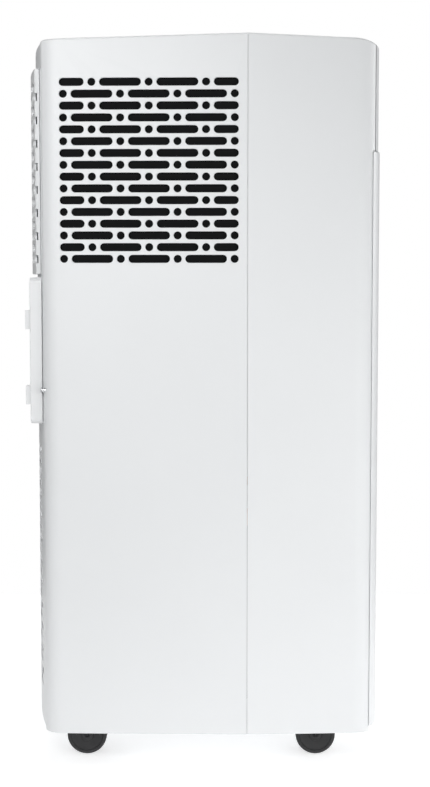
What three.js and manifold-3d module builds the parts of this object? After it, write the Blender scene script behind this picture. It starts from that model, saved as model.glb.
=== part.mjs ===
// Portable air conditioner on four twin-wheel castors.
// Millimetres, +Z up, the front faces -Y, and the origin is on the floor under the middle of the machine.
import * as THREE from 'three';
import { mergeVertices } from 'three/addons/utils/BufferGeometryUtils.js';
import Module from 'manifold-3d';

const wasm = await Module();
wasm.setup();

// Overall size
const HEIGHT = 690;
const WIDTH = 305;
const DEPTH = 341;
const WALL = 2.5;
const GAP = 0.3;
const FLOOR_CLEARANCE = 28;

// Plan of the casing: both sides taper away from the seam between the two shells
const SEAM_FROM_FRONT = 125.5;
const FRONT_TAPER = 5.6;
const REAR_TAPER = 4.6;
const FRONT_CORNER = 26;
const REAR_CORNER = 19;
const REAR_BULGE = 16;
const CURVE_STEPS = 5;

// Crown of the top, as drops below the seam
const REAR_TOP_DROP = 6;
const FRONT_TOP_DROP = 3.6;
const NOSE_DROP = 10;

// Front panel and outlet bezel
const PANEL_PROUD = 1.5;
const PANEL_RETURN = 8;
const PANEL_LIFT = 5;
const BEZEL_HEIGHT = 107;
const BEZEL_RETURN = 4;

// Air outlet
const OUTLET_WIDTH = 208;
const OUTLET_HEIGHT = 60;
const OUTLET_SILL = 17;
const THROAT_LENGTH = 55;
const THROAT_WALL = 2;
const FLAP_THICKNESS = 2.4;
const FLAP_INSET = 0.2;
const FLAP_PIVOT_RISE = 4;
const FLAP_PIN_RADIUS = 1.2;
const FLAP_PIN_LENGTH = 1.6;
const VANE_COUNT = 5;
const VANE_CHORD = 26;
const VANE_THICKNESS = 1.8;
const VANE_SETBACK = 29;
const VANE_PIN_RADIUS = 1.6;
const CRANK_RADIUS = 9;
const CRANK_PIN_RADIUS = 1.2;
const LINK_THICKNESS = 3;
const LINK_DEPTH = 9;
const LINK_PLAY = 0.5;
const LINK_LIFT = 2;
const NOTCH_CLEARANCE = 1;
const CRANK_ROOT = 4;
const VANE_SWING = Math.PI / 6;

// Perforations: rows of dots and round-ended slots, every other row shifted by half a period
const HOLE_WIDTH = 7.5;
const LONG_SLOT = 38.9;
const HOLE_SPACE = 3.4;
const END_TRIM = 0.6;
const ROW_PITCH = 10.9;
const SIDE_GRILLE_LIFT = 5.2;
const SIDE_GRILLE_TOP_MARGIN = 44;
const SIDE_GRILLE_SEAM_MARGIN = 8.4;
const REAR_GRILLE_BOTTOM = 68;
const REAR_GRILLE_HALF_WIDTH = 110;
const REAR_GRILLE_MARGIN = 24;
const REAR_SLOT = 46;

// Rear intake grille, a lid over the filter
const GRILLE_PROUD = 5;
const GRILLE_TO_FRAME = 3;
const GRILLE_TOP_MARGIN = 29;
const GRILLE_SIDE_MARGIN = 25.5;
const GRILLE_RIM = 3;
const GRILLE_SKIN = 2.2;
const FILTER_THICKNESS = 1.6;
const FILTER_LAP = 3;
const FILTER_LAP_BELOW = 1;
const OPENING_LAP = 8;

// Finger grooves beside the intake grille
const GROOVE_RADIUS = 6;
const GROOVE_SIDE_MARGIN = 17;
const GROOVE_SETBACK = 1;

// Exhaust duct frame at the back
const FRAME_BOTTOM = 325.5;
const FRAME_MARGIN = 8.5;
const FRAME_SIDE_MARGIN = 12.5;
const FRAME_DEPTH = 11.6;
const FRAME_CORNER = 6;
const PORT_RADIUS = 58;
const COLLAR_WALL = 3;
const GUARD_BARS = 4;
const GUARD_BAR = 2.4;
const HOOK_DEPTH = 4.5;
const HOOK_WIDTH = 12;
const HOOK_HEIGHT = 18;
const HOOK_RISES = [18.5, 90];
const HOOK_INSET = 2;
const HOOK_FACE = 2;
const COLLAR_REACH = 3;
const COLLAR_DROP = 1;

const SCREW_RADIUS = 2;
const SCREW_HEAD_RADIUS = 3.4;
const SCREW_HEAD_HEIGHT = 1.6;
const SCREW_LENGTH = 9;
const SCREW_RISE = 32.5;
const SCREW_TO_FRAME = 1.4;

// Drain plug and cord inlet at the foot of the back
const DRAIN_X = 30;
const DRAIN_Z = 47;
const DRAIN_RADIUS = 6;
const DRAIN_PLUG_LENGTH = 16;
const GLAND_X = 92;
const GLAND_RADIUS = 7;
const GLAND_LENGTH = 14;
const GLAND_BORE = 4;
const FLANGE_LAP = 3;
const FLANGE_THICKNESS = 2.4;

// Controls on the top
const CONTROL_WIDTH = 176;
const CONTROL_DEPTH = 56;
const CONTROL_THICKNESS = 3;
const CONTROL_FROM_SEAM = 20;
const BUTTON_COUNT_PER_SIDE = 3;
const BUTTON_RADIUS = 7;
const BUTTON_HEIGHT = 5;
const BUTTON_PITCH = 19;
const BUTTON_START = 6;
const BUTTON_PROUD = 0.2;
const BUTTON_TRAVEL = 1;
const DISPLAY_WIDTH = 46;
const DISPLAY_DEPTH = 24;
const DISPLAY_THICKNESS = 1.6;
const BOARD_DROP = 13;
const BOARD_THICKNESS = 1.6;
const BOARD_INSET = 6;
const SWITCH_HALF = 3;
const CONTROL_LIP = 4;
const CONTROL_LIP_THICKNESS = 2;
const CONTROL_RIM = 3;

// Base tray
const TRAY_HEIGHT = 34;
const TRAY_FLOOR = 3.5;
const POCKET_CLEARANCE = 1.9;
const POCKET_WALL = 2.5;
const BOSS_RADIUS = 9;
const BOSS_HEIGHT = 12;

// Castors
const WHEEL_RADIUS = 19.25;
const WHEEL_WIDTH = 9;
const CASTOR_MARGIN = 3.7;
const REAR_CASTOR_MARGIN = 65;
const FRONT_CASTOR_MARGIN = 46.5;
const TRAIL = 10;
const YOKE_THICKNESS = 5;
const YOKE_RADIUS = 12;
const COLLAR_RISE = 1;
const COLLAR_HEIGHT = 2.5;
const STEM_RADIUS = 4;
const AXLE_RADIUS = 2;
const YOKE_SHOULDER = 4;
const YOKE_COLLAR = 5;
const TYRE_EDGE = 2.5;
const HUB_RECESS = 1.5;
const HUB_RECESS_RADIUS = 6;

// Inside
const COMPRESSOR_RADIUS = 52;
const COMPRESSOR_FROM_CASTOR = 67;
const COMPRESSOR_CLEARANCE = 5.6;
const COMPRESSOR_HEIGHT = 190;
const COIL_THICKNESS = 26;
const COIL_FINS = 9;
const FIN_DEPTH = 2;
const FIN_GROOVE_HALF = 3;
const CONDENSER_HEIGHT = 238;
const EVAPORATOR_TOP_DROP = 10.7;
const COIL_SIDE_MARGIN = 45;
const DIVIDER_TO_LAND = 0.4;
const DIVIDER_HEIGHT = 9;
const DIVIDER_FLOOR = 3;
const DRUM_RADIUS = 42;
const DRUM_BLADES = 11;
const SCROLL_GAP = 7;
const FAN_RADIUS = 66;
const FAN_WIDTH = 50;
const FAN_BLADES = 9;
const FAN_LIFT = 226;
const MOTOR_RADIUS = 30;
const MOTOR_LENGTH = 32;
const SHAFT_RADIUS = 4;
const HOUSING_WALL = 2.5;
const PIPE_RADIUS = 4;
const PIPE_NOTCH = 30;
const PIPE_NOTCH_FRONT = 20;
const PIPE_NOTCH_REAR = 90;
const SCROLL_GROWTH = 20;
const ELECTRICAL_BOX_HEIGHT = 120;
const ELECTRICAL_BOX_DROP = 17.7;
const ELECTRICAL_BOX_MARGIN = 24;
const COIL_SETBACK = 8;
const FAN_COIL_GAP = 18;
const FAN_X = -8;
const FAN_SCROLL_GAP = 6;
const FAN_BLADE_DEPTH = 9;
const DUCT_OVERLAP = 4;
const DUCT_OUTLET_SETBACK = 16;
const DRUM_LIFT = 12;
const DRUM_TO_THROAT = 5;
const DRUM_END_GAP = 4;
const HUB_RADIUS = 12;
const HUB_LENGTH = 20;
const DRUM_MOTOR_SHAFT = 20;
const COMPRESSOR_FEET = 8;

// Worked out from the driving dimensions
const FRONT_Y = -DEPTH / 2;
const REAR_Y = DEPTH / 2;
const BEZEL_Y = FRONT_Y + PANEL_PROUD;
const SHELL_REAR_Y = REAR_Y - GRILLE_PROUD;
const REAR_EDGE_Y = SHELL_REAR_Y - REAR_BULGE;
const SEAM_Y = FRONT_Y + SEAM_FROM_FRONT;
const PANEL_BACK_Y = FRONT_Y + PANEL_RETURN;
const BEZEL_BACK_Y = BEZEL_Y + BEZEL_RETURN;
const BEZEL_BOTTOM = HEIGHT - BEZEL_HEIGHT;
const SIDE_X = WIDTH / 2;
const REAR_SIDE_X = SIDE_X - REAR_TAPER;
const REAR_FACE_X = REAR_SIDE_X - REAR_CORNER;
const OUTLET_BOTTOM = BEZEL_BOTTOM + OUTLET_SILL;
const OUTLET_TOP = OUTLET_BOTTOM + OUTLET_HEIGHT;
const THROAT_BACK_Y = BEZEL_Y + THROAT_LENGTH;
const INNER = WALL + GAP;
const PERIOD = LONG_SLOT + HOLE_WIDTH + 2 * HOLE_SPACE;
const FRAME_HEIGHT = 2 * (PORT_RADIUS + COLLAR_WALL + FRAME_MARGIN);
const frameTop = FRAME_BOTTOM + FRAME_HEIGHT;
const GRILLE_BOTTOM = frameTop + GRILLE_TO_FRAME;
const DIVIDER_LIFT = frameTop + GAP + WALL + DIVIDER_TO_LAND;
const SIDE_GRILLE_BOTTOM = DIVIDER_LIFT + DIVIDER_HEIGHT + SIDE_GRILLE_LIFT;
const POCKET_CEILING = 2 * WHEEL_RADIUS + COLLAR_RISE + COLLAR_HEIGHT + 1;
// How far a wheel reaches from the stem's axis, at the height of the casing's underside.
const wheelChord = Math.sqrt(WHEEL_RADIUS ** 2 - Math.max(FLOOR_CLEARANCE - WHEEL_RADIUS, 0) ** 2);
const castorHalfWidth = YOKE_THICKNESS / 2 + GAP + WHEEL_WIDTH;
const POCKET_RADIUS = Math.hypot(TRAIL + wheelChord, castorHalfWidth) + POCKET_CLEARANCE;

// Materials
const paint = (color, roughness, metalness = 0) =>
  new THREE.MeshStandardMaterial({ color, roughness, metalness });
const whiteShell = paint(0xf2f4f5, 0.45);
const whiteTrim = paint(0xe9ecee, 0.5);
const greyPlastic = paint(0xc9cdd0, 0.6);
const blackPlastic = paint(0x1d1e20, 0.5);
const blackRubber = paint(0x232426, 0.85);
const darkLens = paint(0x0c1016, 0.15);
const filterMesh = paint(0x2a3036, 0.9);
const boardGreen = paint(0x1f5a3a, 0.6);
const steel = paint(0xb7babd, 0.35, 1);
const zincSheet = paint(0xb4b8ba, 0.5, 0.9);
const blackPaint = paint(0x18191b, 0.4, 0.3);
const fins = paint(0xc8ccce, 0.4, 1);
const copper = paint(0xb8683c, 0.35, 1);

// ---- Geometry helpers ----

// A closed manifold solid from any closed three.js geometry.
function solid(geometry) {
  geometry.deleteAttribute('normal');
  geometry.deleteAttribute('uv');
  const welded = mergeVertices(geometry, 1e-4);
  const position = welded.attributes.position;
  const index = welded.index.array;
  const corners = [0, 1, 2].map(() => new THREE.Vector3());
  const kept = [];
  let volume = 0;
  for (let i = 0; i < index.length; i += 3) {
    const [a, b, c] = index.slice(i, i + 3);
    if (a === b || b === c || c === a) continue;
    kept.push(a, b, c);
    [a, b, c].forEach((vertex, n) => corners[n].fromBufferAttribute(position, vertex));
    volume += corners[0].dot(corners[1].clone().cross(corners[2]));
  }
  const triVerts = new Uint32Array(volume < 0 ? kept.reverse() : kept);
  const vertProperties = new Float32Array(position.array);
  return new wasm.Manifold(new wasm.Mesh({ numProp: 3, vertProperties, triVerts }));
}

function geometryOf(body) {
  const mesh = body.getMesh();
  const geometry = new THREE.BufferGeometry();
  geometry.setAttribute('position', new THREE.Float32BufferAttribute(mesh.vertProperties, 3));
  geometry.setIndex(Array.from(mesh.triVerts));
  const faceted = geometry.toNonIndexed();
  faceted.computeVertexNormals();
  return faceted;
}

function piece(name, body, material, parent) {
  const mesh = new THREE.Mesh(geometryOf(body), material.clone());
  mesh.name = name;
  parent.add(mesh);
  return mesh;
}

const joined = (bodies) => bodies.reduce((all, body) => all.add(body));

function block(x0, x1, y0, y1, z0, z1) {
  const geometry = new THREE.BoxGeometry(x1 - x0, y1 - y0, z1 - z0);
  geometry.translate((x0 + x1) / 2, (y0 + y1) / 2, (z0 + z1) / 2);
  return solid(geometry);
}

function extruded(shapes, from, to, basis) {
  const options = { depth: to - from, bevelEnabled: false, curveSegments: CURVE_STEPS };
  const geometry = new THREE.ExtrudeGeometry(shapes, options);
  geometry.translate(0, 0, from);
  geometry.applyMatrix4(basis);
  return solid(geometry);
}

const axis = (x, y, z) => new THREE.Vector3(x, y, z);
const turned = (u, v, w) => new THREE.Matrix4().makeBasis(u, v, w);
const alongZ = (shapes, z0, z1) => extruded(shapes, z0, z1, new THREE.Matrix4());
// Shapes drawn in (y, z) and run along X.
const alongX = (shapes, x0, x1) =>
  extruded(shapes, x0, x1, turned(axis(0, 1, 0), axis(0, 0, 1), axis(1, 0, 0)));
// Shapes drawn in (x, z) and run along Y.
const alongY = (shapes, y0, y1) =>
  extruded(shapes, -y1, -y0, turned(axis(1, 0, 0), axis(0, 0, 1), axis(0, -1, 0)));

const outline = (points) => new THREE.Shape(points.map(([u, v]) => new THREE.Vector2(u, v)));

function polygon(u, v, radius, sides) {
  const points = [];
  for (let i = 0; i < sides; i += 1) {
    const angle = ((i + 0.5) / sides) * 2 * Math.PI;
    points.push([u + radius * Math.cos(angle), v + radius * Math.sin(angle)]);
  }
  return outline(points);
}

function roundedRectangle(u0, u1, v0, v1, radius) {
  const shape = new THREE.Shape();
  shape.absarc(u1 - radius, v1 - radius, radius, 0, Math.PI / 2);
  shape.absarc(u0 + radius, v1 - radius, radius, Math.PI / 2, Math.PI);
  shape.absarc(u0 + radius, v0 + radius, radius, Math.PI, Math.PI * 1.5);
  shape.absarc(u1 - radius, v0 + radius, radius, Math.PI * 1.5, Math.PI * 2);
  return shape;
}

// A solid of revolution about X, from a profile of [radius, x] that starts and ends on the axis.
function turnedAboutX(profile, segments) {
  const geometry = new THREE.LatheGeometry(profile.map(([r, x]) => new THREE.Vector2(r, x)), segments);
  geometry.rotateZ(-Math.PI / 2);
  return solid(geometry);
}

function turnedAboutY(profile, segments) {
  return solid(new THREE.LatheGeometry(profile.map(([r, y]) => new THREE.Vector2(r, y)), segments));
}

function turnedAboutZ(profile, segments) {
  const geometry = new THREE.LatheGeometry(profile.map(([r, z]) => new THREE.Vector2(r, z)), segments);
  geometry.rotateX(Math.PI / 2);
  return solid(geometry);
}

function pipe(points, radius) {
  const path = new THREE.CatmullRomCurve3(points.map(([x, y, z]) => axis(x, y, z)), false, 'centripetal');
  const steps = points.length * 3;
  return solid(new THREE.ExtrudeGeometry(polygon(0, 0, radius, 6), { steps, extrudePath: path }));
}

// ---- Casing envelope ----

// The casing's outline seen from above, moved in by inset; proud moves only the front face forward.
function planOutline(inset, proud = 0) {
  const side = SIDE_X - inset;
  const front = BEZEL_Y + inset - proud;
  const rear = SHELL_REAR_Y - inset;
  const rearEdge = REAR_EDGE_Y - inset;
  const rearFace = REAR_FACE_X;
  const path = new THREE.Path();
  path.moveTo(0, front);
  path.lineTo(side - FRONT_TAPER - FRONT_CORNER, front);
  path.quadraticCurveTo(side - FRONT_TAPER, front, side - FRONT_TAPER, front + FRONT_CORNER);
  path.lineTo(side, SEAM_Y);
  path.lineTo(side - REAR_TAPER, rearEdge - REAR_CORNER);
  path.quadraticCurveTo(side - REAR_TAPER, rearEdge, rearFace, rearEdge);
  path.quadraticCurveTo(rearFace / 2, rear, 0, rear);
  const half = path.getPoints(CURVE_STEPS).map((point) => [point.x, point.y]);
  const mirrored = half.slice(1, -1).reverse().map(([x, y]) => [-x, y]);
  return outline([...half, ...mirrored]);
}

// The casing's outline seen from the side, moved in by inset at the top, and going down to bottom.
function sideOutline(inset, bottom) {
  const top = HEIGHT - inset;
  const reach = DEPTH;
  const noseY = BEZEL_Y + inset;
  const browY = BEZEL_Y + FRONT_CORNER;
  const shape = new THREE.Shape();
  shape.moveTo(-reach, bottom);
  shape.lineTo(reach, bottom);
  shape.lineTo(reach, top - REAR_TOP_DROP);
  shape.lineTo(SHELL_REAR_Y, top - REAR_TOP_DROP);
  shape.quadraticCurveTo((SHELL_REAR_Y + SEAM_Y) / 2, top - REAR_TOP_DROP / 4, SEAM_Y, top);
  shape.lineTo(browY, top - FRONT_TOP_DROP);
  shape.quadraticCurveTo(noseY + GAP, top - FRONT_TOP_DROP - 1, noseY, top - NOSE_DROP);
  shape.lineTo(-reach, top - NOSE_DROP);
  return shape;
}

function envelope(inset, bottom, proud = 0) {
  const column = alongZ(planOutline(inset, proud), bottom, HEIGHT + WALL);
  return column.intersect(alongX(sideOutline(inset, bottom - WALL), -WIDTH, WIDTH));
}

// ---- Perforations ----

// A square-ended hole with the area of the round-ended one: the width across is HOLE_WIDTH.
function hole(u, v, length) {
  const half = (length - END_TRIM) / 2;
  const rise = (HOLE_WIDTH - END_TRIM) / 2;
  return outline([[u - half, v - rise], [u + half, v - rise], [u + half, v + rise], [u - half, v + rise]]);
}

// One row of slots with a dot between each two.
// A row ends in dots or, shifted by half a period, in short slots.
function grilleRow(centre, periods, v, dotsAtEnds) {
  const first = centre - (periods * PERIOD) / 2;
  const shift = dotsAtEnds ? 0 : 0.5;
  const holes = [];
  for (let i = 0; i + shift <= periods; i += 1) {
    holes.push(hole(first + (i + shift) * PERIOD, v, HOLE_WIDTH));
  }
  for (let i = 0.5 + shift; i < periods; i += 1) {
    holes.push(hole(first + i * PERIOD, v, LONG_SLOT));
  }
  if (!dotsAtEnds) {
    const short = PERIOD / 2 - HOLE_SPACE;
    const out = (periods * PERIOD + HOLE_WIDTH - short) / 2;
    holes.push(hole(centre - out, v, short), hole(centre + out, v, short));
  }
  return holes;
}

function sideGrille() {
  const front = SEAM_Y + SIDE_GRILLE_SEAM_MARGIN;
  const rear = REAR_EDGE_Y - REAR_CORNER;
  const periods = Math.floor((rear - front + GAP - HOLE_WIDTH) / PERIOD);
  const rows = Math.floor((HEIGHT - SIDE_GRILLE_TOP_MARGIN - SIDE_GRILLE_BOTTOM) / ROW_PITCH) + 1;
  const holes = [];
  for (let row = 0; row < rows; row += 1) {
    const v = SIDE_GRILLE_BOTTOM + row * ROW_PITCH;
    holes.push(...grilleRow((front + rear) / 2, periods, v, row % 2 === 0));
  }
  return alongX(holes, -WIDTH, WIDTH);
}

// Rows of plain slots, for the curved back.
function slotRows(halfWidth, bottom, top, pitch) {
  const count = Math.floor((2 * halfWidth + HOLE_SPACE) / (REAR_SLOT + HOLE_SPACE));
  const span = count * (REAR_SLOT + HOLE_SPACE) - HOLE_SPACE;
  const holes = [];
  for (let v = bottom; v <= top; v += pitch) {
    for (let i = 0; i < count; i += 1) {
      holes.push(hole(-span / 2 + REAR_SLOT / 2 + i * (REAR_SLOT + HOLE_SPACE), v, REAR_SLOT));
    }
  }
  return holes;
}

// ---- Casing ----

const machine = new THREE.Group();
machine.name = 'portable_air_conditioner';

const grilleHalf = REAR_FACE_X + REAR_CORNER - GRILLE_SIDE_MARGIN;
const grilleTop = HEIGHT - GRILLE_TOP_MARGIN;
const frameHalf = REAR_SIDE_X - FRAME_SIDE_MARGIN;
const portZ = FRAME_BOTTOM + FRAME_HEIGHT / 2;
const landY = REAR_EDGE_Y - GAP;
const grooveX = REAR_SIDE_X - GROOVE_SIDE_MARGIN;
const grooveY = REAR_EDGE_Y - GROOVE_SETBACK;

// Everything behind the flat land that the duct frame sits on.
const landCut = (grow) =>
  block(-WIDTH, WIDTH, landY - grow, REAR_Y + WIDTH, FRAME_BOTTOM - GAP - grow, frameTop + GAP + grow);

function grooves(grow) {
  const radius = GROOVE_RADIUS + grow;
  const top = grilleTop + grow;
  const bottom = GRILLE_BOTTOM - grow;
  const channel = (x) => alongZ(polygon(x, grooveY, radius, 12), bottom, top);
  return channel(grooveX).add(channel(-grooveX));
}

// Holes for the drain plug and the cord gland, through the back only.
const rearHoles = alongY(
  [polygon(DRAIN_X, DRAIN_Z, DRAIN_RADIUS + GAP, 12), polygon(GLAND_X, DRAIN_Z, GLAND_RADIUS + GAP, 12)],
  REAR_EDGE_Y - REAR_CORNER, REAR_Y);

const screwX = frameHalf + SCREW_HEAD_RADIUS + SCREW_TO_FRAME;
const screwZ = FRAME_BOTTOM + SCREW_RISE;
const screwHoles = alongY([-screwX, screwX].map((x) => polygon(x, screwZ, SCREW_RADIUS + GAP, 8)), 0, REAR_Y);

// The control panel lies in the sloping front half of the top; its own frame has z = 0 on that slope.
const browY = BEZEL_Y + FRONT_CORNER;
const slope = FRONT_TOP_DROP / (SEAM_Y - browY);
const controls = new THREE.Group();
const controlY = SEAM_Y - CONTROL_FROM_SEAM - CONTROL_DEPTH / 2;
controls.position.set(0, controlY, HEIGHT - slope * (SEAM_Y - controlY));
controls.rotation.x = Math.atan(slope);

function controlOpening() {
  const geometry = new THREE.BoxGeometry(CONTROL_WIDTH + 2 * GAP, CONTROL_DEPTH + 2 * GAP, 8 * WALL);
  controls.updateMatrix();
  return solid(geometry.applyMatrix4(controls.matrix));
}

const behindSeam = block(-WIDTH, WIDTH, SEAM_Y + GAP / 2, REAR_Y + WIDTH, 0, HEIGHT + WALL);
const aheadOfSeam = block(-WIDTH, WIDTH, -DEPTH, SEAM_Y - GAP / 2, 0, HEIGHT + WALL);

function rearShell() {
  const outer = envelope(0, FLOOR_CLEARANCE).intersect(behindSeam);
  const inner = envelope(WALL, 0);
  const skin = outer.subtract(landCut(0)).subtract(grooves(0));
  const hollow = inner.subtract(landCut(WALL)).subtract(grooves(WALL));
  const openingHalf = grilleHalf - OPENING_LAP;
  const openingBottom = GRILLE_BOTTOM + OPENING_LAP;
  const opening = block(-openingHalf, openingHalf, 0, REAR_Y, openingBottom, grilleTop - OPENING_LAP);
  const lowerTop = FRAME_BOTTOM - REAR_GRILLE_MARGIN;
  const lowerRows = slotRows(REAR_GRILLE_HALF_WIDTH, REAR_GRILLE_BOTTOM, lowerTop, 2 * ROW_PITCH);
  const port = alongY(polygon(0, portZ, PORT_RADIUS + COLLAR_WALL + GAP, 24), 0, REAR_Y);
  return skin
    .subtract(hollow)
    .subtract(opening)
    .subtract(alongY(lowerRows, 0, REAR_Y))
    .subtract(port)
    .subtract(rearHoles)
    .subtract(screwHoles)
    .subtract(sideGrille());
}

function frontShell() {
  const outer = envelope(0, FLOOR_CLEARANCE).intersect(aheadOfSeam);
  const panelRoom = block(-WIDTH, WIDTH, -DEPTH, PANEL_BACK_Y, 0, BEZEL_BOTTOM);
  const bezelRoom = block(-WIDTH, WIDTH, -DEPTH, BEZEL_BACK_Y, BEZEL_BOTTOM - GAP, HEIGHT + WALL);
  return outer
    .subtract(envelope(WALL, 0))
    .subtract(panelRoom)
    .subtract(bezelRoom)
    .subtract(controlOpening());
}

function frontPanel() {
  const bottom = FLOOR_CLEARANCE + PANEL_LIFT;
  const top = BEZEL_BOTTOM - 2 * GAP;
  const slab = (inset) => block(-WIDTH, WIDTH, -DEPTH, PANEL_BACK_Y - GAP, bottom + inset, top - inset);
  const outer = envelope(0, 0, PANEL_PROUD).intersect(slab(0));
  const inner = envelope(WALL, 0, PANEL_PROUD).intersect(slab(WALL));
  return outer.subtract(inner);
}

const throatHalf = OUTLET_WIDTH / 2;
const tube = (half, low, high, y0, y1) => block(-half, half, y0, y1, low, high);

function vaneX(index) {
  return (index - (VANE_COUNT - 1) / 2) * (OUTLET_WIDTH / VANE_COUNT);
}

const vaneY = BEZEL_Y + VANE_SETBACK;
const flapPivotY = BEZEL_Y + FLAP_INSET + FLAP_THICKNESS / 2;
const flapPivotZ = OUTLET_BOTTOM + FLAP_PIVOT_RISE;

function frontBezel() {
  const slab = (y) => block(-WIDTH, WIDTH, -DEPTH, y, BEZEL_BOTTOM, HEIGHT);
  const shell = envelope(0, 0).intersect(slab(BEZEL_BACK_Y - GAP));
  const dish = shell.subtract(envelope(WALL, 0).intersect(slab(BEZEL_BACK_Y)).subtract(
    block(-WIDTH, WIDTH, -DEPTH, 0, 0, BEZEL_BOTTOM + WALL)));
  const outer = tube(throatHalf + THROAT_WALL, OUTLET_BOTTOM - THROAT_WALL, OUTLET_TOP + THROAT_WALL,
    BEZEL_Y + WALL / 2, THROAT_BACK_Y);
  const passage = tube(throatHalf, OUTLET_BOTTOM, OUTLET_TOP, -DEPTH, THROAT_BACK_Y + WALL);
  const pivots = [];
  for (let i = 0; i < VANE_COUNT; i += 1) {
    pivots.push(polygon(vaneX(i), vaneY, VANE_PIN_RADIUS + GAP, 8));
  }
  const vaneHoles = alongZ(pivots, OUTLET_BOTTOM - 2 * THROAT_WALL, OUTLET_TOP + 2 * THROAT_WALL);
  const flapHoles = alongX(polygon(flapPivotY, flapPivotZ, FLAP_PIN_RADIUS + GAP, 8),
    -throatHalf - FLAP_PIN_LENGTH - GAP, throatHalf + FLAP_PIN_LENGTH + GAP);
  return dish.add(outer).subtract(passage).subtract(vaneHoles).subtract(flapHoles);
}

function louverFlap() {
  const half = throatHalf - GAP;
  const y0 = BEZEL_Y + FLAP_INSET;
  const sheet = block(-half, half, y0, y0 + FLAP_THICKNESS, OUTLET_BOTTOM + 2 * GAP, OUTLET_TOP - GAP);
  const lip = block(-half, half, y0, y0 + 2 * FLAP_THICKNESS, OUTLET_TOP - 3 * FLAP_THICKNESS,
    OUTLET_TOP - 2 * FLAP_THICKNESS);
  const pin = alongX(polygon(flapPivotY, flapPivotZ, FLAP_PIN_RADIUS, 8),
    -throatHalf - FLAP_PIN_LENGTH, throatHalf + FLAP_PIN_LENGTH);
  return joined([sheet, lip, pin]);
}

const linkBottom = OUTLET_BOTTOM + LINK_LIFT;
const linkTop = linkBottom + LINK_THICKNESS;

// A vertical blade with a pivot pin at each end and a crank pin that reaches down into the link bar.
function vane(index) {
  const low = OUTLET_BOTTOM + GAP;
  const high = OUTLET_TOP - GAP;
  const notchTop = linkTop + NOTCH_CLEARANCE;
  const notchY = vaneY + VANE_PIN_RADIUS + NOTCH_CLEARANCE;
  const x = vaneX(index);
  const blade = outline([
    [vaneY - VANE_CHORD / 2, low], [notchY, low], [notchY, notchTop],
    [vaneY + VANE_CHORD / 2, notchTop], [vaneY + VANE_CHORD / 2, high], [vaneY - VANE_CHORD / 2, high],
  ]);
  const pin = alongZ(polygon(x, vaneY, VANE_PIN_RADIUS, 8), low - THROAT_WALL, high + THROAT_WALL);
  const crankOutline = polygon(x, vaneY + CRANK_RADIUS, CRANK_PIN_RADIUS, 8);
  const crank = alongZ(crankOutline, linkBottom + GAP, notchTop + CRANK_ROOT);
  return joined([alongX(blade, x - VANE_THICKNESS / 2, x + VANE_THICKNESS / 2), pin, crank]);
}

function vaneLink() {
  const half = vaneX(VANE_COUNT - 1) + LINK_DEPTH;
  const pinSlack = CRANK_PIN_RADIUS + LINK_PLAY;
  const back = vaneY + CRANK_RADIUS + pinSlack;
  const front = back - 2 * pinSlack - CRANK_RADIUS * (1 - Math.cos(VANE_SWING));
  const side = (LINK_DEPTH - (back - front)) / 2;
  const bar = block(-half, half, front - side, back + side, linkBottom, linkTop);
  const slots = [];
  for (let i = 0; i < VANE_COUNT; i += 1) {
    slots.push(outline([
      [vaneX(i) - pinSlack, front], [vaneX(i) + pinSlack, front],
      [vaneX(i) + pinSlack, back], [vaneX(i) - pinSlack, back],
    ]));
  }
  return bar.subtract(alongZ(slots, linkBottom - 1, linkTop + 1));
}

function intakeGrille() {
  const boxed = (inset, outset) => alongZ(planOutline(-outset), GRILLE_BOTTOM + inset, grilleTop - inset)
    .intersect(block(-grilleHalf + inset, grilleHalf - inset, 0, REAR_Y + WIDTH, 0, HEIGHT));
  const pocket = boxed(GRILLE_RIM, GRILLE_PROUD - GRILLE_SKIN);
  const behind = alongZ(planOutline(-GAP), 0, HEIGHT);
  const rows = slotRows(grilleHalf - GRILLE_RIM, SIDE_GRILLE_BOTTOM, grilleTop - ROW_PITCH, 2 * ROW_PITCH);
  return boxed(0, GRILLE_PROUD).subtract(pocket).subtract(behind).subtract(alongY(rows, 0, REAR_Y + WALL));
}

function airFilter() {
  const inset = GRILLE_RIM + GAP;
  const sheet = alongZ(planOutline(-GAP - FILTER_THICKNESS), GRILLE_BOTTOM + inset, grilleTop - inset);
  const half = grilleHalf - inset;
  return sheet
    .intersect(block(-half, half, 0, REAR_Y, 0, HEIGHT))
    .subtract(alongZ(planOutline(-GAP), 0, HEIGHT));
}

// A flat net held just inside the side wall, behind all of the side perforations.
function sideFilter(side) {
  const low = SIDE_GRILLE_BOTTOM - HOLE_WIDTH / 2 - FILTER_LAP_BELOW;
  const high = HEIGHT - SIDE_GRILLE_TOP_MARGIN + HOLE_WIDTH;
  const front = SEAM_Y + FILTER_LAP;
  const rear = REAR_EDGE_Y - REAR_CORNER + FILTER_LAP;
  const reach = [0, side * WIDTH].sort((a, b) => a - b);
  return alongZ(planOutline(INNER), low, high)
    .intersect(block(reach[0], reach[1], front, rear, 0, HEIGHT))
    .subtract(alongZ(planOutline(INNER + FILTER_THICKNESS), 0, HEIGHT));
}

const frameFrontY = landY + GAP;
const frameRearY = frameFrontY + FRAME_DEPTH;
const collarFrontY = landY - WALL - COLLAR_REACH;

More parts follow.
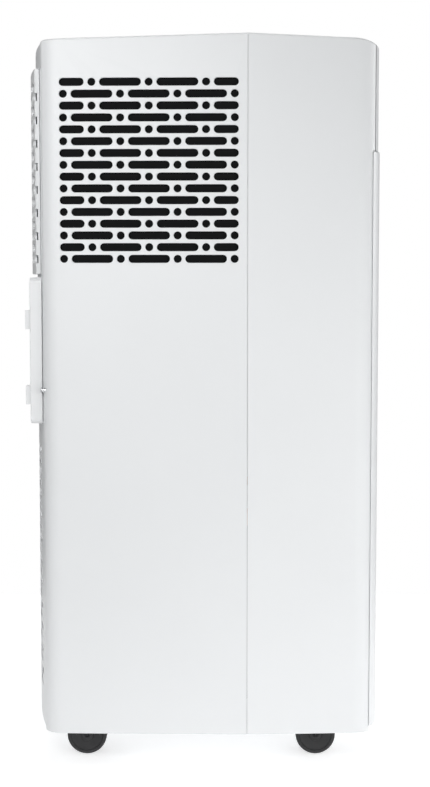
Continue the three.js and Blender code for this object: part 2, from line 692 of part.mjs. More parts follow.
function ductFrame() {
  const half = frameHalf;
  const plate = alongY(
    roundedRectangle(-half, half, FRAME_BOTTOM, frameTop, FRAME_CORNER), frameFrontY, frameRearY);
  const hollow = alongY(
    roundedRectangle(-half + WALL, half - WALL, FRAME_BOTTOM + WALL, frameTop - WALL, FRAME_CORNER - WALL),
    frameFrontY - WALL, frameRearY - WALL);
  const collarOutline = polygon(0, portZ, PORT_RADIUS + COLLAR_WALL, 24);
  const collar = alongY(collarOutline, collarFrontY, frameRearY - COLLAR_DROP);
  const bore = alongY(polygon(0, portZ, PORT_RADIUS, 24), collarFrontY - 1, frameRearY + 1);
  const bars = [];
  const reach = PORT_RADIUS + COLLAR_WALL / 2;
  for (let i = 1; i <= GUARD_BARS; i += 1) {
    const offset = PORT_RADIUS * ((2 * i) / (GUARD_BARS + 1) - 1);
    const length = Math.sqrt(reach ** 2 - (Math.abs(offset) + GUARD_BAR) ** 2);
    const y1 = collarFrontY + GUARD_BAR;
    const low = offset - GUARD_BAR / 2;
    const high = offset + GUARD_BAR / 2;
    bars.push(block(low, high, collarFrontY, y1, portZ - length, portZ + length));
    bars.push(block(-length, length, collarFrontY, y1, portZ + low, portZ + high));
  }
  const hooks = HOOK_RISES.flatMap((rise) => [-1, 1].map((side) => {
    const z0 = FRAME_BOTTOM + rise;
    const outer = side * (frameHalf - HOOK_INSET);
    const inner = side * (frameHalf - HOOK_INSET - HOOK_WIDTH);
    const web = side * (frameHalf - HOOK_INSET - WALL);
    const lip = block(Math.min(outer, inner), Math.max(outer, inner),
      frameRearY + HOOK_DEPTH - HOOK_FACE, frameRearY + HOOK_DEPTH, z0, z0 + HOOK_HEIGHT);
    return lip.add(block(Math.min(outer, web), Math.max(outer, web),
      frameRearY - 1, frameRearY + HOOK_DEPTH, z0, z0 + HOOK_HEIGHT));
  }));
  return joined([plate.subtract(hollow).add(collar).subtract(bore), ...bars, ...hooks]);
}

function ductScrew(side) {
  const body = turnedAboutY([
    [0, -SCREW_LENGTH], [SCREW_RADIUS, -SCREW_LENGTH], [SCREW_RADIUS, 0],
    [SCREW_HEAD_RADIUS, 0], [SCREW_HEAD_RADIUS * 0.8, SCREW_HEAD_HEIGHT], [0, SCREW_HEAD_HEIGHT],
  ], 12);
  const screw = piece(side > 0 ? 'duct_screw_left' : 'duct_screw_right', body, steel, machine);
  screw.position.set(side * screwX, landY, screwZ);
}

// A rubber or plastic fitting pushed into the back: a flange outside and a shank through the wall.
function rearFitting(name, x, radius, length, material, bore) {
  const flange = radius + FLANGE_LAP;
  const span = REAR_FACE_X;
  const nearest = Math.max(Math.abs(x) - flange, 0);
  const wallY = SHELL_REAR_Y - REAR_BULGE * (nearest / span) ** 2 + GAP;
  let body = turnedAboutY([
    [0, -length], [radius, -length], [radius, 0], [flange, 0],
    [flange - 1, FLANGE_THICKNESS], [0, FLANGE_THICKNESS],
  ], 16);
  if (bore > 0) {
    body = body.subtract(alongY(polygon(0, 0, bore, 8), -length - 1, FLANGE_THICKNESS + 1));
  }
  piece(name, body, material, machine).position.set(x, wallY, DRAIN_Z);
}

// ---- Controls ----

const buttonNames = ['timer', 'mode', 'power', 'temp_down', 'temp_up', 'fan_speed'];

function buttonX(index) {
  const onRight = index < BUTTON_COUNT_PER_SIDE;
  const side = onRight ? -1 : 1;
  const step = onRight ? BUTTON_COUNT_PER_SIDE - 1 - index : index - BUTTON_COUNT_PER_SIDE;
  return side * (DISPLAY_WIDTH / 2 + BUTTON_RADIUS + BUTTON_START + step * BUTTON_PITCH);
}

function controlPanel() {
  const halfW = CONTROL_WIDTH / 2;
  const halfD = CONTROL_DEPTH / 2;
  const low = -CONTROL_THICKNESS;
  const plate = block(-halfW, halfW, -halfD, halfD, low, 0);
  const lipW = halfW + CONTROL_LIP;
  const lipD = halfD + CONTROL_LIP;
  const inW = halfW - CONTROL_RIM;
  const inD = halfD - CONTROL_RIM;
  const lip = block(-lipW, lipW, -lipD, lipD, low - CONTROL_LIP_THICKNESS, low)
    .subtract(block(-inW, inW, -inD, inD, low - CONTROL_LIP_THICKNESS - 1, low + 1));
  const w = DISPLAY_WIDTH / 2 + GAP;
  const d = DISPLAY_DEPTH / 2 + GAP;
  const pocket = block(-w, w, -d, d, -DISPLAY_THICKNESS - GAP, 1);
  const holes = buttonNames.map((name, i) => polygon(buttonX(i), 0, BUTTON_RADIUS + 2 * GAP, 12));
  return joined([plate, lip]).subtract(pocket).subtract(alongZ(holes, low - 1, 1));
}

function button() {
  const flangeTop = -CONTROL_THICKNESS - GAP;
  const bottom = BUTTON_PROUD - BUTTON_HEIGHT;
  return turnedAboutZ([
    [0, bottom], [BUTTON_RADIUS + 1, bottom], [BUTTON_RADIUS + 1, flangeTop],
    [BUTTON_RADIUS, flangeTop], [BUTTON_RADIUS, BUTTON_PROUD], [0, BUTTON_PROUD],
  ], 12);
}

function controlBoard() {
  const halfW = CONTROL_WIDTH / 2 - BOARD_INSET;
  const halfD = CONTROL_DEPTH / 2 - BOARD_INSET;
  const top = -BOARD_DROP;
  const board = block(-halfW, halfW, -halfD, halfD, top - BOARD_THICKNESS, top);
  const switchTop = BUTTON_PROUD - BUTTON_HEIGHT - BUTTON_TRAVEL - GAP;
  const switches = buttonNames.map((name, i) =>
    block(buttonX(i) - SWITCH_HALF, buttonX(i) + SWITCH_HALF, -SWITCH_HALF, SWITCH_HALF,
      top - BOARD_THICKNESS / 2, switchTop));
  return joined([board, ...switches]);
}

// ---- Base and castors ----

const castorX = SIDE_X - INNER - POCKET_WALL - POCKET_RADIUS - CASTOR_MARGIN;
const castorFrontY = BEZEL_Y + FRONT_CASTOR_MARGIN;
const castorRearY = SHELL_REAR_Y - REAR_CASTOR_MARGIN;
const castors = [
  ['front_left', 1, castorFrontY],
  ['front_right', -1, castorFrontY],
  ['rear_left', 1, castorRearY],
  ['rear_right', -1, castorRearY],
];

function baseTray() {
  const rimTop = FLOOR_CLEARANCE + TRAY_HEIGHT;
  const floorTop = FLOOR_CLEARANCE + TRAY_FLOOR;
  const column = alongZ(planOutline(INNER), FLOOR_CLEARANCE, HEIGHT);
  const slab = column.intersect(block(-WIDTH, WIDTH, PANEL_BACK_Y + GAP, REAR_Y, 0, rimTop));
  const inside = alongZ(planOutline(INNER + WALL), floorTop, HEIGHT)
    .intersect(block(-WIDTH, WIDTH, PANEL_BACK_Y + GAP + WALL, REAR_Y, 0, HEIGHT));
  const domes = castors.flatMap(([, side, y]) => {
    const at = (radius, top, sides) =>
      alongZ(polygon(side * castorX, y, radius, sides), FLOOR_CLEARANCE + 1, top);
    return [
      at(POCKET_RADIUS + POCKET_WALL, POCKET_CEILING + POCKET_WALL, 16).intersect(slab),
      at(BOSS_RADIUS, POCKET_CEILING + POCKET_WALL + BOSS_HEIGHT, 8),
    ];
  });
  const pockets = castors.map(([, side, y]) => polygon(side * castorX, y, POCKET_RADIUS, 16));
  const stems = castors.map(([, side, y]) => polygon(side * castorX, y, STEM_RADIUS + GAP, 8));
  return joined([slab.subtract(inside), ...domes])
    .subtract(alongZ(pockets, 0, POCKET_CEILING))
    .subtract(alongZ(stems, 0, HEIGHT))
    .subtract(rearHoles);
}

// The castor's own frame has its origin on the floor under the stem.
function castorYoke() {
  const half = YOKE_THICKNESS / 2;
  const collarBottom = 2 * WHEEL_RADIUS + COLLAR_RISE;
  const slant = YOKE_RADIUS * Math.SQRT1_2;
  const arm = outline([
    [TRAIL - YOKE_RADIUS, WHEEL_RADIUS], [TRAIL - slant, WHEEL_RADIUS - slant],
    [TRAIL, WHEEL_RADIUS - YOKE_RADIUS], [TRAIL + slant, WHEEL_RADIUS - slant],
    [TRAIL + YOKE_RADIUS, WHEEL_RADIUS], [TRAIL + slant, WHEEL_RADIUS + slant],
    [STEM_RADIUS + YOKE_SHOULDER, collarBottom + 1], [-STEM_RADIUS - YOKE_SHOULDER, collarBottom + 1],
  ]);
  const collarOutline = polygon(0, 0, STEM_RADIUS + YOKE_COLLAR, 12);
  const collar = alongZ(collarOutline, collarBottom, collarBottom + COLLAR_HEIGHT);
  const stemTop = POCKET_CEILING + POCKET_WALL + BOSS_HEIGHT;
  const stem = alongZ(polygon(0, 0, STEM_RADIUS, 8), collarBottom + 1, stemTop);
  const bore = alongX(polygon(TRAIL, WHEEL_RADIUS, AXLE_RADIUS + GAP, 8), -2 * half, 2 * half);
  return joined([alongX(arm, -half, half), collar, stem]).subtract(bore);
}

function castorWheel() {
  const r = WHEEL_RADIUS;
  const w = WHEEL_WIDTH;
  const bore = AXLE_RADIUS + GAP;
  return turnedAboutX([
    [bore, 0], [r - HUB_RECESS, 0], [r, HUB_RECESS], [r, w - TYRE_EDGE], [r - TYRE_EDGE, w],
    [HUB_RECESS_RADIUS, w - HUB_RECESS], [bore, w - HUB_RECESS], [bore, 0],
  ], 20);
}

function castorAxle() {
  const half = castorHalfWidth;
  return turnedAboutX([[0, -half], [AXLE_RADIUS, -half], [AXLE_RADIUS, half], [0, half]], 12);
}

function addCastor([place, side, y]) {
  const castor = new THREE.Group();
  castor.position.set(side * castorX, y, 0);
  machine.add(castor);
  piece(`castor_yoke_${place}`, castorYoke(), blackPlastic, castor);
  piece(`castor_axle_${place}`, castorAxle(), steel, castor).position.set(0, TRAIL, WHEEL_RADIUS);
  const outward = YOKE_THICKNESS / 2 + GAP;
  [['outer', side], ['inner', -side]].forEach(([face, direction]) => {
    const wheel = piece(`castor_wheel_${face}_${place}`, castorWheel(), blackRubber, castor);
    wheel.position.set(direction * outward, TRAIL, WHEEL_RADIUS);
    wheel.rotation.z = direction > 0 ? 0 : Math.PI;
  });
}

// ---- Cooling machinery ----

const trayFloorZ = FLOOR_CLEARANCE + TRAY_FLOOR + GAP;
const coilHalf = SIDE_X - COIL_SIDE_MARGIN;
const coilRearY = REAR_EDGE_Y - WALL - COIL_SETBACK;
const coilFrontY = coilRearY - COIL_THICKNESS;

function coil(bottom, height) {
  const body = block(-coilHalf, coilHalf, coilFrontY, coilRearY, bottom, bottom + height);
  const grooveCuts = [];
  for (let i = 1; i <= COIL_FINS; i += 1) {
    const z = bottom + (i * height) / (COIL_FINS + 1);
    grooveCuts.push(outline([
      [coilRearY - FIN_DEPTH, z], [coilRearY + 1, z - FIN_GROOVE_HALF], [coilRearY + 1, z + FIN_GROOVE_HALF],
    ]));
  }
  return body.subtract(alongX(grooveCuts, -WIDTH, WIDTH));
}

function dividerTray() {
  const top = DIVIDER_LIFT + DIVIDER_HEIGHT;
  const slab = alongZ(planOutline(INNER), DIVIDER_LIFT, top)
    .intersect(block(-WIDTH, WIDTH, PANEL_BACK_Y + GAP, REAR_Y, 0, HEIGHT));
  const inside = alongZ(planOutline(INNER + WALL), DIVIDER_LIFT + DIVIDER_FLOOR, top + 1)
    .intersect(block(-WIDTH, WIDTH, PANEL_BACK_Y + GAP + WALL, REAR_Y, 0, HEIGHT));
  const pipeNotch = block(-WIDTH, PIPE_NOTCH - SIDE_X, PIPE_NOTCH_FRONT, PIPE_NOTCH_REAR, 0, HEIGHT);
  return slab.subtract(inside).subtract(pipeNotch).subtract(grooves(INNER));
}

// The compressor stands as far forward as the pocket over the front castor lets it.
const compressorX = COMPRESSOR_FROM_CASTOR - castorX;
const toPocket = COMPRESSOR_RADIUS + POCKET_RADIUS + POCKET_WALL + COMPRESSOR_CLEARANCE;
const compressorY = castorFrontY + Math.sqrt(toPocket ** 2 - COMPRESSOR_FROM_CASTOR ** 2);

function compressor() {
  const r = COMPRESSOR_RADIUS;
  const h = COMPRESSOR_HEIGHT;
  const feet = COMPRESSOR_FEET;
  const body = turnedAboutZ([
    [0, feet], [r * 0.8, feet], [r, feet + 16], [r, h - 26], [r * 0.8, h - 8], [r * 0.35, h], [0, h],
  ], 24);
  return body.add(block(-r * 0.7, r * 0.7, -r * 0.7, r * 0.7, 0, feet + 2));
}

// Scroll outline in (x, z) about the fan's centre, which grows round to an outlet that points up.
function scroll(grow, top) {
  const points = [];
  for (let degrees = 80; degrees <= 360; degrees += 20) {
    const r = FAN_RADIUS + FAN_SCROLL_GAP + (SCROLL_GROWTH * (degrees - 80)) / 280 + grow;
    const angle = (degrees * Math.PI) / 180;
    points.push([FAN_X + r * Math.cos(angle), FAN_LIFT + r * Math.sin(angle)]);
  }
  const [tongueX] = points[0];
  const [outerX] = points[points.length - 1];
  return outline([...points, [outerX, top], [tongueX - 2 * grow, top]]);
}

const fanY0 = coilFrontY - FAN_COIL_GAP - FAN_WIDTH;
const fanY1 = fanY0 + FAN_WIDTH;
const scrollTop = FRAME_BOTTOM + DUCT_OVERLAP;

function condenserFanHousing() {
  const wall = HOUSING_WALL;
  const outer = alongY(scroll(wall, scrollTop), fanY0 - 2 * wall, fanY1 + 2 * wall);
  const inner = alongY(scroll(0, scrollTop + 1), fanY0 - wall, fanY1 + wall);
  const inlets = alongY(polygon(FAN_X, FAN_LIFT, FAN_RADIUS * 0.75, 24), 0, REAR_Y);
  return outer.subtract(inner).subtract(inlets);
}

// A ring of slanted blades seen along the axle.
function bladeRing(u, v, radius, depth, count) {
  const blades = [];
  for (let i = 0; i < count; i += 1) {
    const angle = (i / count) * 2 * Math.PI;
    const at = (r, turn) => [u + r * Math.cos(angle + turn), v + r * Math.sin(angle + turn)];
    const lead = depth / radius / 2;
    const thick = 1.6 / radius;
    blades.push(outline([
      at(radius, lead), at(radius - depth, 0), at(radius - depth, thick), at(radius, lead + thick),
    ]));
  }
  return blades;
}

function condenserFanWheel() {
  const depth = FAN_BLADE_DEPTH;
  const hub = alongY(polygon(FAN_X, FAN_LIFT, FAN_RADIUS, 20), fanY1 - 2, fanY1)
    .add(alongY(polygon(FAN_X, FAN_LIFT, HUB_RADIUS, 12), fanY0 + 6, fanY1));
  const ring = alongY(polygon(FAN_X, FAN_LIFT, FAN_RADIUS, 20), fanY0, fanY0 + 2)
    .subtract(alongY(polygon(FAN_X, FAN_LIFT, FAN_RADIUS - depth, 20), fanY0 - 1, fanY0 + 3));
  const bladeShapes = bladeRing(FAN_X, FAN_LIFT, FAN_RADIUS - 0.5, depth - 1, FAN_BLADES);
  const blades = alongY(bladeShapes, fanY0 + 1, fanY1 - 1);
  const bore = alongY(polygon(FAN_X, FAN_LIFT, SHAFT_RADIUS + GAP, 12), 0, REAR_Y);
  return joined([hub, ring, blades]).subtract(bore);
}

function motorProfile(shaft) {
  return [
    [0, 0], [MOTOR_RADIUS * 0.7, 0], [MOTOR_RADIUS, 5], [MOTOR_RADIUS, MOTOR_LENGTH - 5],
    [MOTOR_RADIUS * 0.7, MOTOR_LENGTH], [SHAFT_RADIUS, MOTOR_LENGTH],
    [SHAFT_RADIUS, MOTOR_LENGTH + shaft], [0, MOTOR_LENGTH + shaft],
  ];
}

function exhaustDuct() {
  const left = -PORT_RADIUS - FAN_SCROLL_GAP;
  const right = FAN_X + FAN_RADIUS + FAN_SCROLL_GAP + SCROLL_GROWTH + HOUSING_WALL;
  const y0 = fanY0 - 2 * HOUSING_WALL;
  const y1 = collarFrontY - GAP;
  const z0 = scrollTop + GAP;
  const z1 = frameTop - 2;
  const w = HOUSING_WALL;
  const outletX = FAN_X + DUCT_OUTLET_SETBACK;
  return block(left, right, y0, y1, z0, z1)
    .subtract(block(left + w, right - w, y0 + w, y1 + 1, z0 + w, z1 - w))
    .subtract(block(outletX, right - w, y0 + w, fanY1 + w, z0 - 1, z0 + 2 * w));
}

const drumY = THROAT_BACK_Y + DRUM_RADIUS + SCROLL_GAP + DRUM_TO_THROAT;
const drumZ = OUTLET_BOTTOM + DRUM_LIFT;

function evaporatorFanHousing() {
  const wall = HOUSING_WALL;
  const outerR = DRUM_RADIUS + SCROLL_GAP + wall;
  const frontY = THROAT_BACK_Y + GAP;
  const outerHalf = throatHalf + wall;
  const cheek = alongX(polygon(drumY, drumZ, outerR, 24), -outerHalf, outerHalf)
    .add(block(-outerHalf, outerHalf, frontY, drumY, OUTLET_BOTTOM - wall, OUTLET_TOP + wall));
  const inside = alongX(polygon(drumY, drumZ, outerR - wall, 24), -throatHalf, throatHalf)
    .add(block(-throatHalf, throatHalf, frontY - 1, drumY, OUTLET_BOTTOM, OUTLET_TOP));
  const inlet = block(-throatHalf, throatHalf, drumY + 6, drumY + 2 * outerR, drumZ - outerR / 2, HEIGHT)
    .add(block(-throatHalf, throatHalf, drumY - 10, drumY + outerR, drumZ + 8, HEIGHT));
  const shaftHole = alongX(polygon(drumY, drumZ, SHAFT_RADIUS + GAP, 12), -WIDTH, WIDTH);
  return cheek.subtract(inside).subtract(inlet).subtract(shaftHole);
}

function evaporatorFanDrum() {
  const half = throatHalf - DRUM_END_GAP;
  const disc = (x) => alongX(polygon(drumY, drumZ, DRUM_RADIUS, 20), x - 1, x + 1);
  const bladeShapes = bladeRing(drumY, drumZ, DRUM_RADIUS - 0.5, FAN_BLADE_DEPTH, DRUM_BLADES);
  const blades = alongX(bladeShapes, -half, half);
  const hub = alongX(polygon(drumY, drumZ, HUB_RADIUS, 12), half - HUB_LENGTH, half);
  const bore = alongX(polygon(drumY, drumZ, SHAFT_RADIUS + GAP, 12), half - HUB_LENGTH - 5, half + 5);
  const stub = alongX(polygon(drumY, drumZ, SHAFT_RADIUS, 12), -throatHalf - HOUSING_WALL, -half);
  return joined([disc(-half), disc(half), blades, hub, stub]).subtract(bore);
}

function addMachinery() {
  piece('divider_tray', dividerTray(), greyPlastic, machine);
  piece('compressor', compressor(), blackPaint, machine).position.set(compressorX, compressorY, trayFloorZ);
  const condenserBottom = FLOOR_CLEARANCE + TRAY_HEIGHT + GAP;
  piece('condenser_coil', coil(condenserBottom, CONDENSER_HEIGHT), fins, machine);
  const evaporatorBottom = DIVIDER_LIFT + DIVIDER_FLOOR + GAP;
  const evaporatorHeight = grilleTop - EVAPORATOR_TOP_DROP - evaporatorBottom;
  piece('evaporator_coil', coil(evaporatorBottom, evaporatorHeight), fins, machine);
  piece('condenser_fan_housing', condenserFanHousing(), greyPlastic, machine);
  piece('condenser_fan_wheel', condenserFanWheel(), blackPlastic, machine);
  const shaft = FAN_WIDTH - 8;
  const condenserMotorBody = turnedAboutY(motorProfile(shaft), 24);
  const condenserMotor = piece('condenser_fan_motor', condenserMotorBody, zincSheet, machine);
  condenserMotor.position.set(FAN_X, fanY0 - MOTOR_LENGTH, FAN_LIFT);
  piece('exhaust_duct', exhaustDuct(), greyPlastic, machine);
  piece('evaporator_fan_housing', evaporatorFanHousing(), greyPlastic, machine);
  piece('evaporator_fan_drum', evaporatorFanDrum(), blackPlastic, machine);
  const evaporatorMotorBody = turnedAboutX(motorProfile(DRUM_MOTOR_SHAFT), 24);
  const evaporatorMotor = piece('evaporator_fan_motor', evaporatorMotorBody, zincSheet, machine);
  evaporatorMotor.position.set(throatHalf + HOUSING_WALL + GAP + MOTOR_LENGTH, drumY, drumZ);
  evaporatorMotor.rotation.z = Math.PI;
  const boxX = compressorX + COMPRESSOR_RADIUS + 30;
  const boxTop = DIVIDER_LIFT - ELECTRICAL_BOX_DROP;
  const box = block(boxX, SIDE_X - ELECTRICAL_BOX_MARGIN, BEZEL_Y + ELECTRICAL_BOX_MARGIN,
    SEAM_Y - ELECTRICAL_BOX_MARGIN, boxTop - ELECTRICAL_BOX_HEIGHT, boxTop);
  piece('electrical_box', box, zincSheet, machine);
  const topZ = trayFloorZ + COMPRESSOR_HEIGHT + 1;
  const outX = -coilHalf + 8;
  piece('discharge_pipe', pipe([
    [compressorX, compressorY, topZ], [compressorX, compressorY, topZ + 26],
    [compressorX - 30, compressorY + 30, topZ + 44], [outX, fanY0 - 20, topZ + 50],
    [outX, fanY1, topZ + 50], [outX, coilFrontY - 1, topZ + 50],
  ], PIPE_RADIUS), copper, machine);
  const pipeX = PIPE_NOTCH - SIDE_X - PIPE_RADIUS - 4;
  piece('suction_pipe', pipe([
    [outX, coilFrontY - 1, DIVIDER_LIFT + 60], [outX, coilFrontY - 14, DIVIDER_LIFT + 60],
    [pipeX, 60, DIVIDER_LIFT + 36], [pipeX, 55, DIVIDER_LIFT - 30], [pipeX, 20, DIVIDER_LIFT - 120],
    [pipeX, compressorY, topZ - 20], [compressorX - COMPRESSOR_RADIUS - 22, compressorY, topZ - 60],
    [compressorX - COMPRESSOR_RADIUS - 1, compressorY, topZ - 62],
  ], PIPE_RADIUS), copper, machine);
}

// ---- Assembly ----

piece('rear_shell', rearShell(), whiteShell, machine);
piece('front_shell', frontShell(), whiteShell, machine);
piece('front_panel', frontPanel(), whiteShell, machine);
piece('front_bezel', frontBezel(), whiteShell, machine);
piece('louver_flap', louverFlap(), whiteTrim, machine);
for (let i = 0; i < VANE_COUNT; i += 1) {
  piece(`air_vane_${i + 1}`, vane(i), greyPlastic, machine);
}
piece('vane_link', vaneLink(), greyPlastic, machine);
piece('intake_grille', intakeGrille(), whiteTrim, machine);
piece('air_filter', airFilter(), filterMesh, machine);
piece('side_filter_left', sideFilter(1), filterMesh, machine);
piece('side_filter_right', sideFilter(-1), filterMesh, machine);
piece('duct_frame', ductFrame(), whiteTrim, machine);
ductScrew(-1);
ductScrew(1);
rearFitting('drain_plug', DRAIN_X, DRAIN_RADIUS, DRAIN_PLUG_LENGTH, blackRubber, 0);
rearFitting('cord_gland', GLAND_X, GLAND_RADIUS, GLAND_LENGTH, greyPlastic, GLAND_BORE);

machine.add(controls);
piece('control_panel', controlPanel(), greyPlastic, controls);
const halfLens = [DISPLAY_WIDTH / 2, DISPLAY_DEPTH / 2];
piece('display_lens', block(-halfLens[0], halfLens[0], -halfLens[1], halfLens[1], -DISPLAY_THICKNESS, 0),
  darkLens, controls);
piece('control_board', controlBoard(), boardGreen, controls);
buttonNames.forEach((name, i) => {
  piece(`button_${name}`, button(), whiteTrim, controls).position.x = buttonX(i);
});

piece('base_tray', baseTray(), greyPlastic, machine);
castors.forEach(addCastor);
addMachinery();

export default machine;
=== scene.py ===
"""Looks of the portable air conditioner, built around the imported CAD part.

Metres, +Z up, the front faces -Y and the photographed side faces -X.
"""

import math

import bmesh
import bpy
from mathutils import Matrix, Vector


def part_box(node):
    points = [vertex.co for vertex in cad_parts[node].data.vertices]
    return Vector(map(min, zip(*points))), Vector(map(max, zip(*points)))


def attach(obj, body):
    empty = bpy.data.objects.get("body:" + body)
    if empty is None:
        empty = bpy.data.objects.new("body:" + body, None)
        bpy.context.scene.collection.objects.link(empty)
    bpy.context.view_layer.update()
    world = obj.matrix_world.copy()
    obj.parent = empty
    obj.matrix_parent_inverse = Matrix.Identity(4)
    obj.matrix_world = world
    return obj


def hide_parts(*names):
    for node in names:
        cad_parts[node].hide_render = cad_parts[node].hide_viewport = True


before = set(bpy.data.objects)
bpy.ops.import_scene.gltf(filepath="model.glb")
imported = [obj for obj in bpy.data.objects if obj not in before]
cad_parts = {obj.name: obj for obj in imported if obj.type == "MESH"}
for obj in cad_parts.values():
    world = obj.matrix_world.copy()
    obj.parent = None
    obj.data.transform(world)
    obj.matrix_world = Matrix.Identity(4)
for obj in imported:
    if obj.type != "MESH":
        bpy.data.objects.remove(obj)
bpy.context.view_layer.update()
MM = 0.001

# ---- Sizes taken from the frame ----

shell_low, shell_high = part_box("rear_shell")
_, front_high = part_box("front_shell")
panel_low, panel_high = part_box("front_panel")
bezel_low, bezel_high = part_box("front_bezel")
flap_low, flap_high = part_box("louver_flap")
lid_low, lid_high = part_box("intake_grille")
duct_low, duct_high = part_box("duct_frame")
tray_low, tray_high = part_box("base_tray")

GAP = 0.3 * MM
WALL = 2.5 * MM
SIDE_X = shell_high.x
HEIGHT = shell_high.z
BOTTOM = shell_low.z
SEAM_Y = (shell_low.y + front_high.y) / 2
SHELL_REAR_Y = shell_high.y
BEZEL_Y = bezel_low.y

# Casing seen from above
FRONT_TAPER = 5.6 * MM
REAR_TAPER = 4.6 * MM
FRONT_CORNER = 26 * MM
REAR_CORNER = 19 * MM
REAR_BULGE = 16 * MM
REAR_EDGE_Y = SHELL_REAR_Y - REAR_BULGE
REAR_SIDE_X = SIDE_X - REAR_TAPER
REAR_FACE_X = REAR_SIDE_X - REAR_CORNER
CORNER_STEPS = 14
BULGE_STEPS = 26

# Crown of the top, as drops below the seam
REAR_TOP_DROP = 6 * MM
FRONT_TOP_DROP = 3.6 * MM
NOSE_DROP = 10 * MM
TOP_ROUND = 2.4 * MM
FOOT_ROUND = 1.2 * MM
PANEL_ROUND = 1.4 * MM
BEZEL_ROUND = 0.8 * MM

# Perforations
HOLE_WIDTH = 7.5 * MM
LONG_SLOT = 38.9 * MM
HOLE_SPACE = 3.4 * MM
PERIOD = LONG_SLOT + HOLE_WIDTH + 2 * HOLE_SPACE
ROW_PITCH = 10.9 * MM
HOLE_LIP = 0.35 * MM
HOLE_END_STEPS = 8
SIDE_ROWS = 16
SIDE_PERIODS = 3
SIDE_GRILLE_BOTTOM = lid_low.z + 14.4 * MM
SIDE_GRILLE_MIDDLE = 46.95 * MM
LOWER_ROWS = 22
LOWER_PERIODS = 4
LOWER_GRILLE_BOTTOM = 68 * MM

# Back
LAND_Y = REAR_EDGE_Y - GAP
GROOVE_RADIUS = 6 * MM
GROOVE_X = REAR_SIDE_X - 17 * MM
GROOVE_Y = REAR_EDGE_Y - 1 * MM
GROOVE_RAMP = 32 * MM
PORT_RADIUS = 58 * MM
COLLAR_WALL = 3 * MM
PORT_Z = (duct_low.z + duct_high.z) / 2
LID_SKIN = 2.2 * MM
LID_RIM = 3 * MM
LID_SLOT_PERIODS = 2
INTAKE_LAP = 8 * MM
FITTING_LAP = 3 * MM
SCREW_HOLE_RADIUS = 2.3 * MM
HOOK_WIDTH = 12 * MM
HOOK_HEIGHT = 18 * MM
HOOK_FACE = 2 * MM
HOOK_DEPTH = 4.5 * MM
HOOK_INSET = 2 * MM
HOOK_RISES = (18.5 * MM, 90 * MM)
FRAME_CORNER = 6 * MM
GUARD_BARS = 4
GUARD_BAR = 2.4 * MM

# Air outlet in the bezel
BEZEL_SEAT = BEZEL_Y + 4 * MM
VANE_COUNT = 5
FLAP_THICKNESS = 2.4 * MM
FLAP_PIN_RADIUS = 1.2 * MM
VANE_THICKNESS = 1.8 * MM
VANE_PIN_RADIUS = 1.6 * MM
CRANK_OFFSET = 9 * MM
CRANK_PIN_RADIUS = 1.2 * MM
THROAT_WALL = 2 * MM
OUTLET_HALF = flap_high.x - 1.6 * MM
OUTLET_LOW = flap_low.z - 0.6 * MM
OUTLET_HIGH = flap_high.z + GAP
FLAP_PIVOT_Y = BEZEL_Y + 1.4 * MM
FLAP_PIVOT_Z = OUTLET_LOW + 4 * MM
VANE_PIVOT_Y = BEZEL_Y + 29 * MM

# A cutter or a bound that has to reach past the whole machine
FAR = 1
# Round pieces stay this much inside the radius of their faceted CAD node
INSIDE_BOX = 0.99
# Angles, in degrees, from which an edge is rounded and from which it shades as an edge
SOFT_ANGLE = 50
SHARP_ANGLE = 34


# ---- Mesh helpers ----

def mesh_object(name, vertices, faces):
    mesh = bpy.data.meshes.new(name)
    mesh.from_pydata([tuple(v) for v in vertices], [], faces)
    bm = bmesh.new()
    bm.from_mesh(mesh)
    bmesh.ops.recalc_face_normals(bm, faces=bm.faces)
    bm.to_mesh(mesh)
    bm.free()
    made = bpy.data.objects.new(name, mesh)
    bpy.context.scene.collection.objects.link(made)
    return made


def settle(target):
    """Turns the object's modifiers into plain mesh."""
    depsgraph = bpy.context.evaluated_depsgraph_get()
    mesh = bpy.data.meshes.new_from_object(target.evaluated_get(depsgraph))
    target.modifiers.clear()
    old = target.data
    target.data = mesh
    bpy.data.meshes.remove(old)
    return target


def combine(target, operation, *others):
    for other in others:
        boolean = target.modifiers.new("boolean", "BOOLEAN")
        boolean.operation = operation
        boolean.solver = "MANIFOLD"
        boolean.object = other
        settle(target)
        bpy.data.objects.remove(other)
    return target


def cut(target, *others):
    return combine(target, "DIFFERENCE", *others)


def clip(target, *others):
    return combine(target, "INTERSECT", *others)


def join(target, *others):
    return combine(target, "UNION", *others)


def tube_faces(rings, count):
    """Quads between each ring of count points and the next."""
    faces = []
    for ring in range(rings - 1):
        for i in range(count):
            j = (i + 1) % count
            here, above = ring * count, (ring + 1) * count
            faces.append([here + i, here + j, above + j, above + i])
    return faces


def swept(name, rings):
    """A closed solid through rings of points, flat at both ends."""
    count = len(rings[0])
    faces = tube_faces(len(rings), count)
    faces.append(list(range(count)))
    faces.append([(len(rings) - 1) * count + i for i in range(count)])
    return mesh_object(name, [point for ring in rings for point in ring], faces)


def prism(name, outline, axis, start, end):
    """An outline in the two other axes (y, z), (x, z) or (x, y), run along axis."""
    def place(u, v, w):
        return {"x": (w, u, v), "y": (u, w, v), "z": (u, v, w)}[axis]
    return swept(name, [[place(u, v, w) for u, v in outline] for w in (start, end)])


def block(name, x0, x1, y0, y1, z0, z1):
    return prism(name, [(x0, y0), (x1, y0), (x1, y1), (x0, y1)], "z", z0, z1)


def slab(y0, y1, z0=-FAR, z1=FAR):
    """Everything between two heights and two planes across the machine."""
    return block("slab", -FAR, FAR, y0, y1, z0, z1)


def arc(u, v, radius, start, end, steps):
    """Points on an arc, angles in degrees."""
    points = []
    for i in range(steps + 1):
        angle = math.radians(start + (end - start) * i / steps)
        points.append((u + radius * math.cos(angle), v + radius * math.sin(angle)))
    return points


def circle(u, v, radius, steps):
    return arc(u, v, radius, 0, 360, steps)[:-1]


